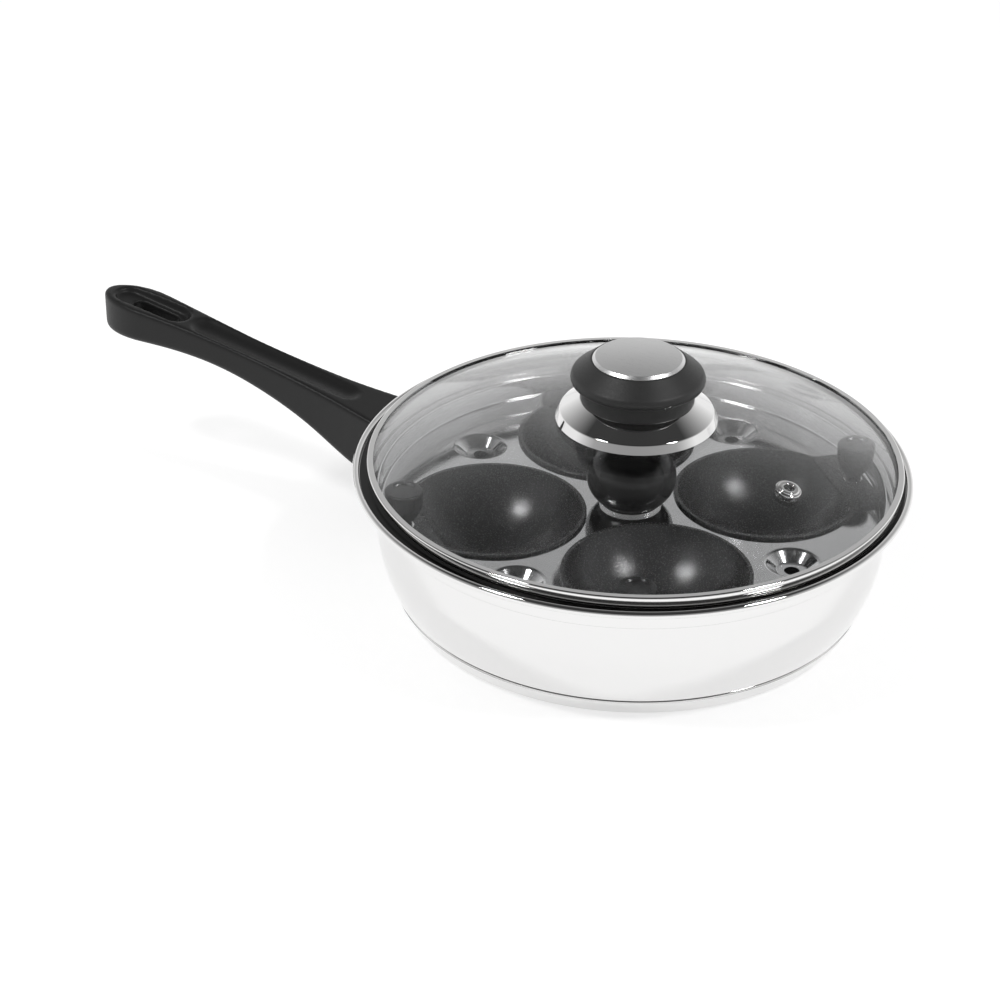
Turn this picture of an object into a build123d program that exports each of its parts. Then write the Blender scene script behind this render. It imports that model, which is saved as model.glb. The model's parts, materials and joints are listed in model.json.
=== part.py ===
from build123d import *
import os
from math import acos, asin, cos, degrees, pi, radians, sin, sqrt, tan

# Four-cup egg poacher pan: a stick-handled pan, a drop-in tray, four lift-out cups and a glass lid.
# Lengths are in millimetres. Z points up from the centre of the base's underside.
# The handle runs along -X.

os.makedirs("parts", exist_ok=True)

# Clearances shared by all pieces
cut_overrun = 2.0
weld_gap = 0.05
thread_gap = 0.05
seal_gap = 0.1

# Egg cups, which set the size of the whole pan
cup_count = 4
cup_first_deg = 36.6
cup_turn_degs = (7.5, 0.0, 15.0, -23.0)
cup_wall = 0.8
cup_opening_r = 34.0
cup_depth = 22.0
cup_bead_width = 1.7
cup_rim_r = cup_opening_r + cup_bead_width
cup_rim_height = 1.2
cup_rim_edge_r = 0.45
cup_gap = 3.978
cup_pitch_r = (cup_rim_r + cup_gap / 2) / sin(pi / cup_count)

# Ears of the cups
ear_overhang = 5.9
ear_reach = cup_rim_r + ear_overhang
ear_half_width = 21.0
ear_corner_r = 6.0
ear_root_r = 3.0

# Cup knobs
stud_inset = 5.1
stud_from_cup = ear_reach - stud_inset
stud_foot_r = 2.9
stud_ring_lip = 0.8
stud_ring_r = stud_foot_r + stud_ring_lip
stud_ring_height = 0.5
stud_neck_height = 1.6
stud_neck_bend_r = 2.0
stud_belly_r = 6.9
stud_belly_height = 6.6
stud_belly_bend_r = 8.0
stud_r = 7.3
stud_height = 14.8
stud_edge_r = 0.9
stud_dish_r = 5.3
stud_dish_depth = 0.7
stud_screw_r = 1.4
stud_screw_head_r = 2.5
stud_screw_depth = 8.0

# Drop-in tray, its flange on the pan's step
tray_sheet = 0.6
tray_seat_z = 45.0
tray_drop = 8.4
tray_ear_gap = 2.2
tray_wall_r = cup_pitch_r + ear_reach + tray_ear_gap
tray_flange_width = 2.4
tray_flange_r = tray_wall_r + tray_flange_width
tray_corner_r = 1.6
tray_fold_r = 0.4
cup_hole_gap = 0.1
cup_hole_r = cup_opening_r + cup_wall + cup_hole_gap

# Steam dimples, halfway between the cups
dimple_step_share = 0.5
dimple_from_wall = 24.1
dimple_pitch_r = tray_wall_r - dimple_from_wall
dimple_r = 10.4
dimple_rim_width = 1.2
dimple_rim_r = dimple_r + dimple_rim_width
dimple_flat_r = 6.0
dimple_depth = 3.6
dimple_bend_r = 1.6
dimple_vent_r = 2.9

# Tray knob with its collar, screw and washer
ball_r = 17.3
ball_side_r = 12.0
ball_crown_r = 26.5
ball_base_r = 11.0
collar_lip = 1.0
collar_r = ball_base_r + collar_lip
collar_height = 1.3
collar_edge_r = 0.5
ball_screw_r = 1.95
ball_screw_depth = 13.0
ball_screw_head_r = 4.0
ball_screw_head_height = 2.5
ball_washer_r = 6.2
ball_washer_height = 0.8

# Pan body, one sheet pressed to shape, with radii given on its outside
pan_sheet = 0.7
tray_gap = 0.5
pan_wall_r = tray_wall_r + tray_gap + pan_sheet
pan_wall_bend_r = 43.0
pan_floor_inset = 7.2
pan_floor_r = pan_wall_r - pan_floor_inset
pan_knuckle_r = 5.0
pan_flare_deg = 60.0
flange_gap = 0.7
pan_upper_inner_r = tray_flange_r + flange_gap
pan_upper_r = pan_upper_inner_r + pan_sheet
pan_fold_r = 0.3
pan_step_bend_r = 1.3
step_to_ledge = 8.3
lid_seat_z = tray_seat_z + step_to_ledge
ledge_width = 6.6
rim_outer_r = pan_upper_r + ledge_width
rim_curl_r = 1.35
rim_curl_end_deg = 195.0

# Sandwich base
cap_sheet = 0.6
cap_inset = 2.4
cap_corner_r = pan_floor_r - cap_inset
cap_bend_r = 2.5
cap_flare = 3.3
cap_top_r = cap_corner_r + cap_flare
core_gap = 2.2
core_r = cap_corner_r - core_gap
core_height = 5.4
pan_floor_z = cap_sheet + core_height
cap_lap = 0.8
cap_height = pan_floor_z + cap_lap

# Handle grip, drawn along a line that rises from the pan
grip_gap = 0.7
grip_front_r = pan_upper_r + grip_gap
grip_under_ledge = 4.2
grip_front_z = lid_seat_z - grip_under_ledge
grip_rise_deg = 10.0
grip_length = 147.8
grip_root_depth = 25.8
grip_half_width = 14.6
grip_draft_share = 0.86
grip_top_edge_r = 1.4
grip_low_edge_r = 3.2
grip_tip_back = 5.0
socket_gap = 0.25

# Along the grip: share of its length, then height over its line as a share of its root depth
grip_top_shares = ((-0.05, 0.0), (0.25, -0.02), (0.5, 0.0), (0.7, 0.012), (0.85, -0.004), (1.03, -0.1))
grip_low_shares = ((-0.05, -1.0), (0.12, -1.0), (0.27, -0.745), (0.43, -0.555), (0.6, -0.47),
                   (0.75, -0.525), (0.9, -0.65), (1.03, -0.74))

# Along the grip: share of its length, then half width as a share of its root half width
grip_side_shares = ((-0.05, 1.07), (0.07, 0.885), (0.19, 0.7), (0.33, 0.58), (0.5, 0.527),
                    (0.61, 0.562), (0.72, 0.63), (0.82, 0.72))
grip_tip_start_share = 0.86
grip_tip_half_share = 0.745

# Hanging slot in its recess, and the thumb scoop before it
recess_from_tip = 23.8
recess_centre = grip_length - recess_from_tip
recess_length = 37.0
recess_width = 14.0
recess_slope = 1.6
recess_depth = 3.2
recess_rim = 0.6
slot_shift = 2.5
slot_centre = recess_centre - slot_shift
slot_length = 22.0
slot_width = 6.6
saddle_width = 2.5
scoop_start = 21.0
scoop_end = recess_centre - recess_length / 2 - saddle_width
scoop_r = 11.0
scoop_depth = 2.0

# Handle bracket, welded to the wall under the step, with a tongue that reaches into the grip
bracket_sheet = 1.5
bracket_width = 26.0
bracket_corner_r = 3.0
bracket_under_step = 1.6
bracket_high_z = tray_seat_z - bracket_under_step
bracket_height = 13.4
bracket_low_z = bracket_high_z - bracket_height
tongue_width = 12.0
tongue_thick = 5.0
tongue_over_low = 7.0
tongue_low_z = bracket_low_z + tongue_over_low
tongue_reach = 35.4
tongue_end_r = grip_front_r + tongue_reach

# Handle screw, driven from below
screw_from_front = 26.9
screw_at = grip_front_r + screw_from_front
screw_r = 2.0
screw_head_r = 3.9
screw_head_height = 2.6
screw_head_gap = 0.5
screw_bore_r = screw_head_r + screw_head_gap
screw_wall = 3.0
screw_length = 12.0
screw_slot_width = 1.0
screw_slot_depth = 1.1

# Lid glass in its steel band, set a little to one side on the rim's ledge
lid_shift = 1.0
lid_shift_deg = 25.0
band_overhang = 2.6
band_r = pan_upper_inner_r + band_overhang
band_sheet = 0.6
band_height = 5.6
band_lip_width = 2.4
band_lip_r = band_r - band_lip_width
band_foot_width = 1.9
band_foot_r = band_r - band_foot_width
band_bend_r = 0.6
glass_rise = 18.3
glass_thick = 3.4
glass_edge_gap = 0.3

# Steam vent eyelet in the glass
vent_from_lip = 31.6
vent_from_axis = band_lip_r - vent_from_lip
vent_deg = -9.5
vent_tube_r = 2.7
vent_tube_wall = 0.6
vent_hole_r = vent_tube_r - vent_tube_wall
vent_gap = 0.2
vent_bore_r = vent_tube_r + vent_gap
vent_brim_width = 2.2
vent_brim_r = vent_tube_r + vent_brim_width
vent_brim_height = 0.5
vent_lip_width = 1.1
vent_lip_r = vent_tube_r + vent_lip_width
vent_lip_height = 1.3
vent_edge_r = 0.45
vent_foot_width = 1.8
vent_foot_r = vent_tube_r + vent_foot_width

# Lid knob's skirt
skirt_sheet = 0.6
skirt_r = 31.2
skirt_rise = 2.6
skirt_edge_r = 1.3
skirt_seat_r = 9.0
skirt_slope = 4.0
skirt_neck_r = skirt_seat_r + skirt_slope
skirt_bend_r = 2.0

# Lid knob's black body, from its neck up, and the disc on its top
neck_r = 18.0
neck_height = 3.8
knob_ring_width = 3.4
knob_ring_height = 2.8
knob_ring_edge_r = 0.8
groove_out = 0.8
groove_depth = 0.6
groove_to_wide = 5.2
wide_out = 5.6
wide_bend_r = 4.2
wide_to_shoulder = 6.6
shoulder_out = 2.4
shoulder_bend_r = 9.0
shoulder_to_top = 1.9
disc_r = 17.5
disc_ledge = 0.7
disc_height = 1.9
disc_edge = 0.9
disc_spigot_r = 5.0
disc_spigot_height = 3.0

# Lid knob fixing, under the glass
lid_screw_r = 2.5
lid_screw_depth = 12.0
lid_screw_head_r = 4.6
lid_screw_head_height = 3.0
glass_bore_gap = 0.7
glass_bore_r = lid_screw_r + glass_bore_gap
lid_washer_r = 7.2
lid_washer_height = 1.0
gasket_r = 8.4
gasket_height = 1.4

# Levels and curves that follow from the sizes above
pan_flare_z = pan_floor_z + (pan_wall_r - pan_floor_r) * tan(radians(pan_flare_deg))
curl_centre_r = rim_outer_r - rim_curl_r
curl_centre_z = lid_seat_z - pan_sheet + rim_curl_r
tray_low_z = tray_seat_z - tray_drop
tray_top_z = tray_low_z + tray_sheet
cup_top_z = tray_top_z + cup_rim_height
bowl_inner_r = (cup_opening_r ** 2 + cup_depth ** 2) / (2 * cup_depth)
bowl_centre_z = cup_top_z - cup_depth + bowl_inner_r
band_top_z = lid_seat_z + band_height
glass_apex_z = band_top_z + glass_rise
glass_edge_r = band_r - band_sheet - glass_edge_gap
glass_drop = glass_apex_z - (band_top_z - band_sheet - seal_gap)
glass_r = (band_lip_r ** 2 + glass_drop ** 2) / (2 * glass_drop)
ball_base_z = tray_top_z + collar_height
ball_side_from_axis = ball_r - ball_side_r
ball_centre_z = ball_base_z + sqrt(ball_side_r ** 2 - (ball_base_r - ball_side_from_axis) ** 2)
stud_low_z = cup_top_z + stud_ring_height
stud_top_z = stud_low_z + stud_height
screw_top_z = tongue_low_z - screw_wall + screw_length
skirt_top_z = glass_apex_z + skirt_rise
knob_ring_z = skirt_top_z + neck_height
groove_z = knob_ring_z + knob_ring_height
wide_z = groove_z + groove_to_wide
shoulder_z = wide_z + wide_to_shoulder
knob_top_z = shoulder_z + shoulder_to_top
knob_ring_r = neck_r + knob_ring_width
groove_r = knob_ring_r + groove_out
wide_r = groove_r + wide_out
knob_top_r = disc_r + disc_ledge
shoulder_r = knob_top_r + shoulder_out

# Places that pieces share
stud_place = Pos(stud_from_cup, 0)
vent_tilt = Rot(0, 0, vent_deg) * Pos(0, 0, glass_apex_z - glass_r)
vent_lean_deg = degrees(asin(vent_from_axis / glass_r))
vent_place = vent_tilt * Rot(0, vent_lean_deg, 0) * Pos(0, 0, glass_r)
lid_place = Pos(lid_shift * cos(radians(lid_shift_deg)), lid_shift * sin(radians(lid_shift_deg)))


def glass_top(r):
    """Height of the glass's upper face at a radius."""
    return glass_apex_z - glass_r + sqrt(glass_r ** 2 - r ** 2)


def glass_under(r):
    """Height of the glass's lower face at a radius."""
    return glass_apex_z - glass_r + sqrt((glass_r - glass_thick) ** 2 - r ** 2)


gasket_low_z = glass_under(gasket_r) - seal_gap - gasket_height


def rounded_outline(corners):
    """Closed face through corners given as x, y and rounding radius, each eased to fit its sides."""
    count = len(corners)
    points = [Vector(x, y) for x, y, r in corners]
    turns, reaches = [], []
    for i, (x, y, r) in enumerate(corners):
        before = (points[i] - points[i - 1]).normalized()
        after = (points[(i + 1) % count] - points[i]).normalized()
        turns.append((before, after))
        half_turn = radians(before.get_angle(after)) / 2
        reaches.append(r * tan(half_turn))
    eased = []
    for i in range(count):
        room = 1.0
        for j in (i - 1, (i + 1) % count):
            side = (points[i] - points[j]).length
            used = reaches[i] + reaches[j]
            room = min(room, side / used) if used > side else room
        eased.append(reaches[i] * room)
    edges, end = [], points[-1] + turns[-1][1] * eased[-1]
    tiny = seal_gap * seal_gap
    for i in range(count):
        before, after = turns[i]
        start = points[i] - before * eased[i]
        if (start - end).length > tiny:
            edges.append(Line(end, start))
        else:
            start = end
        end = points[i] + after * eased[i]
        if eased[i] > 0:
            middle = (before - after).normalized()
            half_turn = radians(before.get_angle(after)) / 2
            depth = eased[i] / tan(half_turn) * (1 / cos(half_turn) - 1)
            edges.append(ThreePointArc(start, points[i] - middle * depth, end))
    return make_face(edges)


def sheet_outline(path, thick):
    """Closed face of a bent sheet: a path of x, y and outer bend radius, thickened to its left."""
    points = [Vector(x, y) for x, y, r in path]
    ways = [(b - a).normalized() for a, b in zip(points, points[1:])]
    lefts = [Vector(-w.Y, w.X) for w in ways]
    far = [(points[0] + lefts[0] * thick, 0)]
    for i in range(1, len(points) - 1):
        blend = (lefts[i - 1] + lefts[i]) * (1 / (1 + lefts[i - 1].dot(lefts[i])))
        left_turn = ways[i - 1].cross(ways[i]).Z > 0
        bend = path[i][2] + (-thick if left_turn else thick)
        far.append((points[i] + blend * thick, max(bend, 0)))
    far.append((points[-1] + lefts[-1] * thick, 0))
    return rounded_outline(list(path) + [(p.X, p.Y, r) for p, r in reversed(far)])


def turned(face):
    """Solid turned about Z from a face drawn as radius and height."""
    return revolve(Plane.XZ * face, Axis.Z)


def upright(radius, low, high, at=(0, 0)):
    """Plain round bar or bore between two heights."""
    return Pos(at[0], at[1], low) * extrude(Circle(radius), high - low)


def ring(outer, inner, low, high):
    """Flat washer between two heights."""
    return Pos(0, 0, low) * extrude(Circle(outer) - Circle(inner), high - low)


def slotted_screw(shank_r, head_r, head_height, low, top, slot_width, slot_depth):
    """Screw pointing up, with its slotted head at the bottom."""
    shoulder = low + head_height
    head = rounded_outline((
        (0, low, 0), (head_r, low, head_height / 2), (head_r, shoulder, 0), (0, shoulder, 0)))
    screw = turned(head) + upright(shank_r, shoulder, top)
    return screw - Pos(0, 0, low) * Box(2 * head_r, slot_width, 2 * slot_depth)


def around(steps, radius):
    """Place on a circle about the pan's axis, in steps from the first cup, turned to face outwards."""
    return Rot(0, 0, cup_first_deg + 360 / cup_count * steps) * Pos(radius, 0)


def cup_place(index):
    """Place of a cup's own axis."""
    return around(index, cup_pitch_r)


def pan_body():
    """Pan pressed from one sheet, with a step for the tray, a ledge for the lid and a rolled rim."""
    under_step, under_ledge = tray_seat_z - pan_sheet, lid_seat_z - pan_sheet
    wall = sheet_outline((
        (0, pan_floor_z, 0),
        (pan_floor_r, pan_floor_z, pan_knuckle_r),
        (pan_wall_r, pan_flare_z, pan_wall_bend_r),
        (pan_wall_r, under_step, pan_fold_r),
        (pan_upper_r, under_step, pan_step_bend_r),
        (pan_upper_r, under_ledge, pan_fold_r),
        (curl_centre_r, under_ledge, 0)), pan_sheet)
    roll = Circle(rim_curl_r) - Circle(rim_curl_r - pan_sheet)
    mouth_deg = (rim_curl_end_deg + 270) / 2
    reach = 2 * rim_curl_r
    mouth = make_face(Polyline(
        (0, 0), (0, -reach),
        (reach * cos(radians(mouth_deg)), reach * sin(radians(mouth_deg))),
        (reach * cos(radians(rim_curl_end_deg)), reach * sin(radians(rim_curl_end_deg))), close=True))
    return turned(wall + Pos(curl_centre_r, curl_centre_z) * (roll - mouth))


def base_cap():
    """Steel cap that closes the sandwich base."""
    return turned(sheet_outline((
        (0, 0, 0), (cap_corner_r, 0, cap_bend_r), (cap_top_r, cap_height, 0)), cap_sheet))


def base_core():
    """Aluminium disc that spreads the heat."""
    return upright(core_r, cap_sheet, pan_floor_z)


def handle_bracket():
    """Curved pad on the wall, with a flat tongue that reaches into the grip."""
    inner = pan_wall_r + weld_gap
    outer = inner + bracket_sheet
    height = bracket_high_z - bracket_low_z
    middle_z = (bracket_low_z + bracket_high_z) / 2
    window = Plane(origin=(0, 0, middle_z), x_dir=(0, 1, 0), z_dir=(-1, 0, 0)) * RectangleRounded(
        bracket_width, height, bracket_corner_r)
    pad = ring(outer, inner, bracket_low_z, bracket_high_z) & extrude(window, outer + cut_overrun)
    middle_r = (pan_wall_r + tongue_end_r) / 2
    tongue = Pos(-middle_r, 0, tongue_low_z + tongue_thick / 2) * Box(
        tongue_end_r - pan_wall_r, tongue_width, tongue_thick)
    tongue -= upright(inner, 0, bracket_high_z)
    return pad + tongue - upright(screw_r + thread_gap, 0, lid_seat_z, (-screw_at, 0))


def grip_plan(half, tip):
    """Grip seen from above its line, for a half width at the root and a distance to the tip."""
    side = [(grip_length * along, half * wide) for along, wide in grip_side_shares]
    middle = grip_length * grip_tip_start_share
    bulge = (middle, half * grip_tip_half_share)
    far_side = [(x, -y) for x, y in side + [bulge]]
    leaving = (side[1][0] - side[0][0], side[1][1] - side[0][1])
    nose = EllipticalCenterArc((middle, 0), tip - middle, bulge[1], start_angle=-90, arc_size=180)
    return make_face([
        Line(far_side[0], side[0]),
        Spline(side + [bulge], tangents=[leaving, (1, 0)]),
        nose,
        Spline(far_side, tangents=[(leaving[0], -leaving[1]), (1, 0)])])


def grip_side():
    """Grip seen from the side of its line."""
    top = [(grip_length * along, grip_root_depth * high) for along, high in grip_top_shares]
    low = [(grip_length * along, grip_root_depth * high) for along, high in grip_low_shares]
    return make_face([Spline(top), Line(top[-1], low[-1]), Spline(low), Line(low[0], top[0])])


def handle_grip():
    """Moulded stick handle, with a thumb scoop, a hanging slot and a socket for the tongue."""
    rise = radians(grip_rise_deg)
    along, up = (-cos(rise), 0, sin(rise)), (sin(rise), 0, cos(rise))
    start = (-grip_front_r, 0, grip_front_z)
    level = Plane(origin=start, x_dir=along, z_dir=up)
    side_on = Plane(origin=start, x_dir=along, z_dir=(0, 1, 0))
    low = -grip_root_depth - cut_overrun
    low_plan = grip_plan(grip_half_width * grip_draft_share, grip_length - grip_tip_back)
    high_plan = grip_plan(grip_half_width, grip_length)
    plans = loft([level.offset(low) * low_plan, level.offset(cut_overrun) * high_plan], ruled=True)
    grip = plans & extrude(side_on * grip_side(), grip_half_width + cut_overrun, both=True)
    for facing, edge_r in ((1, grip_top_edge_r), (-1, grip_low_edge_r)):
        face = max(grip.faces(), key=lambda f: f.normal_at().dot(Vector(up)) * facing)
        rim = [e for e in face.edges() if abs(level.to_local_coords(e.center()).X) > grip_top_edge_r]
        grip = fillet(rim, edge_r)
    reach = sqrt(scoop_r ** 2 - (scoop_r - scoop_depth) ** 2)
    first, last = scoop_start + reach, scoop_end - reach
    scoop = Pos((first + last) / 2, 0) * Rot(0, 90, 0) * Cylinder(scoop_r, last - first)
    scoop += Pos(first, 0) * Sphere(scoop_r) + Pos(last, 0) * Sphere(scoop_r)
    grip -= level.offset(scoop_r - scoop_depth).location * scoop
    recess = Pos(recess_centre, 0) * SlotOverall(recess_length, recess_width)
    floor = Pos(recess_centre, 0) * SlotOverall(
        recess_length - 2 * recess_slope, recess_width - 2 * recess_slope)
    grip -= loft([level.offset(-recess_depth) * floor, level.offset(recess_rim) * recess], ruled=True)
    slot = Pos(slot_centre, 0) * SlotOverall(slot_length, slot_width)
    grip -= extrude(level.offset(low) * slot, -2 * low)
    grip -= upright(grip_front_r, 0, lid_seat_z + ledge_width)
    hollow = tongue_end_r + socket_gap
    grip -= Pos(-hollow / 2, 0, tongue_low_z + tongue_thick / 2) * Box(
        hollow, tongue_width + 2 * socket_gap, tongue_thick + 2 * socket_gap)
    seat_z = tongue_low_z - screw_wall
    grip -= upright(screw_bore_r, 0, seat_z, (-screw_at, 0))
    return grip - upright(screw_r + thread_gap, 0, screw_top_z + thread_gap, (-screw_at, 0))


def handle_screw():
    """Screw that holds the grip to the tongue."""
    low = tongue_low_z - screw_wall - screw_head_height
    return Pos(-screw_at, 0) * slotted_screw(
        screw_r, screw_head_r, screw_head_height, low, screw_top_z, screw_slot_width, screw_slot_depth)


def dimple():
    """Pressed steam dimple, drawn about its own axis."""
    low = tray_low_z - dimple_depth
    return turned(sheet_outline((
        (dimple_vent_r, low, 0), (dimple_flat_r, low, dimple_bend_r),
        (dimple_r, tray_low_z, dimple_bend_r), (dimple_rim_r, tray_low_z, 0)), tray_sheet))


def tray_plate():
    """Drop-in tray that hangs on the wall's step, with holes for the cups and dimples for the steam."""
    tray = turned(sheet_outline((
        (0, tray_low_z, 0), (tray_wall_r, tray_low_z, tray_corner_r),
        (tray_wall_r, tray_seat_z, tray_fold_r), (tray_flange_r, tray_seat_z, 0)), tray_sheet))
    below, above = tray_low_z - cut_overrun, tray_top_z + cut_overrun
    tray -= upright(ball_screw_r + thread_gap, below, above)
    for i in range(cup_count):
        tray -= cup_place(i) * upright(cup_hole_r, below, above)
        spot = around(i + dimple_step_share, dimple_pitch_r)
        tray -= spot * upright(dimple_rim_r, below, above)
        tray += spot * dimple()
    return tray


def tray_knob_collar():
    """Bright ring that the tray's knob stands in."""
    inner = ball_screw_r + thread_gap
    return turned(rounded_outline((
        (inner, tray_top_z, 0), (collar_r, tray_top_z, 0),
        (collar_r, ball_base_z, collar_edge_r), (inner, ball_base_z, 0))))


def tray_knob():
    """Rounded knob that lifts the tray, flattened where it meets its collar."""
    base_deg = degrees(acos((ball_base_r - ball_side_from_axis) / ball_side_r))
    lean_deg = degrees(acos(ball_side_from_axis / (ball_crown_r - ball_side_r)))
    side = CenterArc((ball_side_from_axis, ball_centre_z), ball_side_r, -base_deg, base_deg + lean_deg)
    crown_z = ball_centre_z - sqrt((ball_crown_r - ball_side_r) ** 2 - ball_side_from_axis ** 2)
    crown = CenterArc((0, crown_z), ball_crown_r, lean_deg, 90 - lean_deg)
    base = (0, ball_base_z)
    knob = turned(make_face([side, crown, Line(crown @ 1, base), Line(base, side @ 0)]))
    bore_low, bore_top = ball_base_z - cut_overrun, ball_base_z + ball_screw_depth + thread_gap
    return knob - upright(ball_screw_r + thread_gap, bore_low, bore_top)


def tray_knob_washer():
    """Washer between the tray and its screw's head."""
    return ring(ball_washer_r, ball_screw_r + thread_gap, tray_low_z - ball_washer_height, tray_low_z)


def tray_knob_screw():
    """Screw that holds the tray's knob from below."""
    low = tray_low_z - ball_washer_height - ball_screw_head_height
    return slotted_screw(ball_screw_r, ball_screw_head_r, ball_screw_head_height, low,
                         ball_base_z + ball_screw_depth, screw_slot_width, screw_slot_depth)


def cup_shell():
    """Round-bottomed cup with a beaded rim and an ear, drawn about its own axis."""
    bowl = Pos(0, bowl_centre_z) * (Circle(bowl_inner_r + cup_wall) - Circle(bowl_inner_r))
    depth = cup_depth + cup_wall + cut_overrun
    bowl &= Pos(cup_rim_r / 2, cup_top_z - depth / 2) * Rectangle(cup_rim_r, depth)
    bead = rounded_outline((
        (cup_opening_r - cup_wall / 2, tray_top_z, 0), (cup_rim_r, tray_top_z, 0),
        (cup_rim_r, cup_top_z, cup_rim_edge_r), (cup_opening_r - cup_wall / 2, cup_top_z, cup_rim_edge_r)))
    opening = Pos(0, bowl_centre_z) * Circle(bowl_inner_r)
    shell = turned(bowl + (bead - opening))
    ear = Circle(ear_reach) & Pos(ear_reach / 2, 0) * Rectangle(ear_reach, 2 * ear_half_width)
    ear = fillet(ear.vertices().group_by(Axis.X)[-1], ear_corner_r)
    outline = ear + Circle(cup_rim_r)
    root_x = sqrt(cup_rim_r ** 2 - ear_half_width ** 2) + ear_root_r / 2
    roots = [v for v in outline.vertices() if 0 < v.X < root_x
             and abs(abs(v.Y) - ear_half_width) < ear_root_r / 2]
    outline = fillet(roots, ear_root_r) - Circle(cup_opening_r + cup_wall)
    plate = Pos(0, 0, tray_top_z) * extrude(outline, cup_rim_height)
    return shell + plate - stud_place * cup_screw_space()


def cup_screw_space():
    """Countersunk hole for a cup's screw, drawn about the screw's axis."""
    gap = thread_gap
    return turned(rounded_outline((
        (0, tray_top_z - cut_overrun, 0), (stud_screw_head_r + gap, tray_top_z - cut_overrun, 0),
        (stud_screw_head_r + gap, tray_top_z + gap, 0), (stud_screw_r + gap, cup_top_z, 0),
        (stud_screw_r + gap, cup_top_z + cut_overrun, 0), (0, cup_top_z + cut_overrun, 0))))


def cup_screw():
    """Countersunk screw, flush under the ear, drawn in the cup's own frame."""
    low = tray_top_z + thread_gap
    top = stud_low_z + stud_screw_depth
    return stud_place * turned(rounded_outline((
        (0, low, 0), (stud_screw_head_r, low, 0), (stud_screw_r, cup_top_z - thread_gap, 0),
        (stud_screw_r, top, 0), (0, top, 0))))


def cup_knob_ring():
    """Bright ring under a cup's knob, drawn in the cup's own frame."""
    return stud_place * ring(stud_ring_r, stud_screw_r + thread_gap, cup_top_z, stud_low_z)


def cup_knob():
    """Bud-shaped knob with a dished top, drawn in the cup's own frame."""
    dish_z = stud_top_z - stud_dish_depth
    knob = turned(rounded_outline((
        (0, stud_low_z, 0), (stud_foot_r, stud_low_z, 0),
        (stud_foot_r, stud_low_z + stud_neck_height, stud_neck_bend_r),
        (stud_belly_r, stud_low_z + stud_belly_height, stud_belly_bend_r),
        (stud_r, stud_top_z, stud_edge_r), (stud_dish_r, stud_top_z, stud_edge_r),
        (stud_dish_r - stud_dish_depth, dish_z, 0), (0, dish_z, 0))))
    bore_top = stud_low_z + stud_screw_depth + thread_gap
    return stud_place * (knob - upright(stud_screw_r + thread_gap, stud_low_z - cut_overrun, bore_top))


def lid_band():
    """Steel band folded round the glass's edge."""
    return lid_place * turned(sheet_outline((
        (band_foot_r, lid_seat_z, 0), (band_r, lid_seat_z, band_bend_r),
        (band_r, band_top_z, band_bend_r), (band_lip_r, band_top_z, 0)), band_sheet))


def lid_glass():
    """Domed glass with a bore for the knob's screw and one for the vent."""
    centre_z = glass_apex_z - glass_r
    dome = Pos(0, centre_z) * (Circle(glass_r) - Circle(glass_r - glass_thick))
    width = glass_edge_r - glass_bore_r
    dome &= Pos(glass_bore_r + width / 2, centre_z + glass_r / 2) * Rectangle(width, glass_r + cut_overrun)
    bore = upright(vent_bore_r, -glass_thick - cut_overrun, cut_overrun)
    return lid_place * (turned(dome) - vent_place * bore)


def vent_eyelet():
    """Steel eyelet that lets steam out, standing square to the glass."""
    foot_z = -glass_thick - seal_gap
    brim_z = seal_gap + vent_brim_height
    return lid_place * vent_place * turned(rounded_outline((
        (vent_hole_r, vent_lip_height, vent_edge_r), (vent_hole_r, foot_z - vent_brim_height, 0),
        (vent_foot_r, foot_z - vent_brim_height, 0), (vent_foot_r, foot_z, 0),
        (vent_tube_r, foot_z, 0), (vent_tube_r, seal_gap, 0),
        (vent_brim_r, seal_gap, 0), (vent_brim_r, brim_z, vent_edge_r),
        (vent_lip_r, brim_z, vent_edge_r), (vent_lip_r, vent_lip_height, vent_edge_r))))


def lid_knob_skirt():
    """Polished skirt between the knob and the glass."""
    under_z = skirt_top_z - skirt_sheet
    seat_z = glass_apex_z + seal_gap
    side_r = skirt_r - skirt_sheet
    return lid_place * turned(sheet_outline((
        (lid_screw_r + thread_gap, seat_z, 0), (skirt_seat_r, seat_z, skirt_bend_r),
        (skirt_neck_r, under_z, skirt_bend_r), (side_r, under_z, skirt_edge_r),
        (side_r, glass_top(skirt_r) + seal_gap, 0)), skirt_sheet))


def lid_knob_body():
    """Black grip of the lid's knob, with a socket for the top disc."""
    body = turned(rounded_outline((
        (0, skirt_top_z, 0), (neck_r, skirt_top_z, 0),
        (neck_r, knob_ring_z, 0), (knob_ring_r, knob_ring_z, knob_ring_edge_r),
        (groove_r, groove_z, 0), (groove_r - groove_depth, groove_z, 0),
        (groove_r, groove_z + groove_depth, 0),
        (wide_r, wide_z, wide_bend_r), (shoulder_r, shoulder_z, shoulder_bend_r),
        (knob_top_r, knob_top_z, groove_depth), (0, knob_top_z, 0))))
    socket_z = knob_top_z - disc_spigot_height - thread_gap
    body -= upright(disc_spigot_r + thread_gap, socket_z, knob_top_z + cut_overrun)
    top = skirt_top_z + lid_screw_depth + thread_gap
    return lid_place * (body - upright(lid_screw_r + thread_gap, skirt_top_z - cut_overrun, top))


def lid_knob_disc():
    """Brushed disc on the knob, held by a spigot."""
    disc_z = knob_top_z + disc_height
    disc = turned(rounded_outline((
        (0, knob_top_z, 0), (disc_r, knob_top_z, 0), (disc_r, disc_z - disc_edge, 0),
        (disc_r - disc_edge, disc_z, 0), (0, disc_z, 0))))
    return lid_place * (disc + upright(disc_spigot_r, knob_top_z - disc_spigot_height, knob_top_z))


def lid_gasket():
    """Soft ring under the glass."""
    return lid_place * ring(gasket_r, lid_screw_r + thread_gap, gasket_low_z, gasket_low_z + gasket_height)


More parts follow.
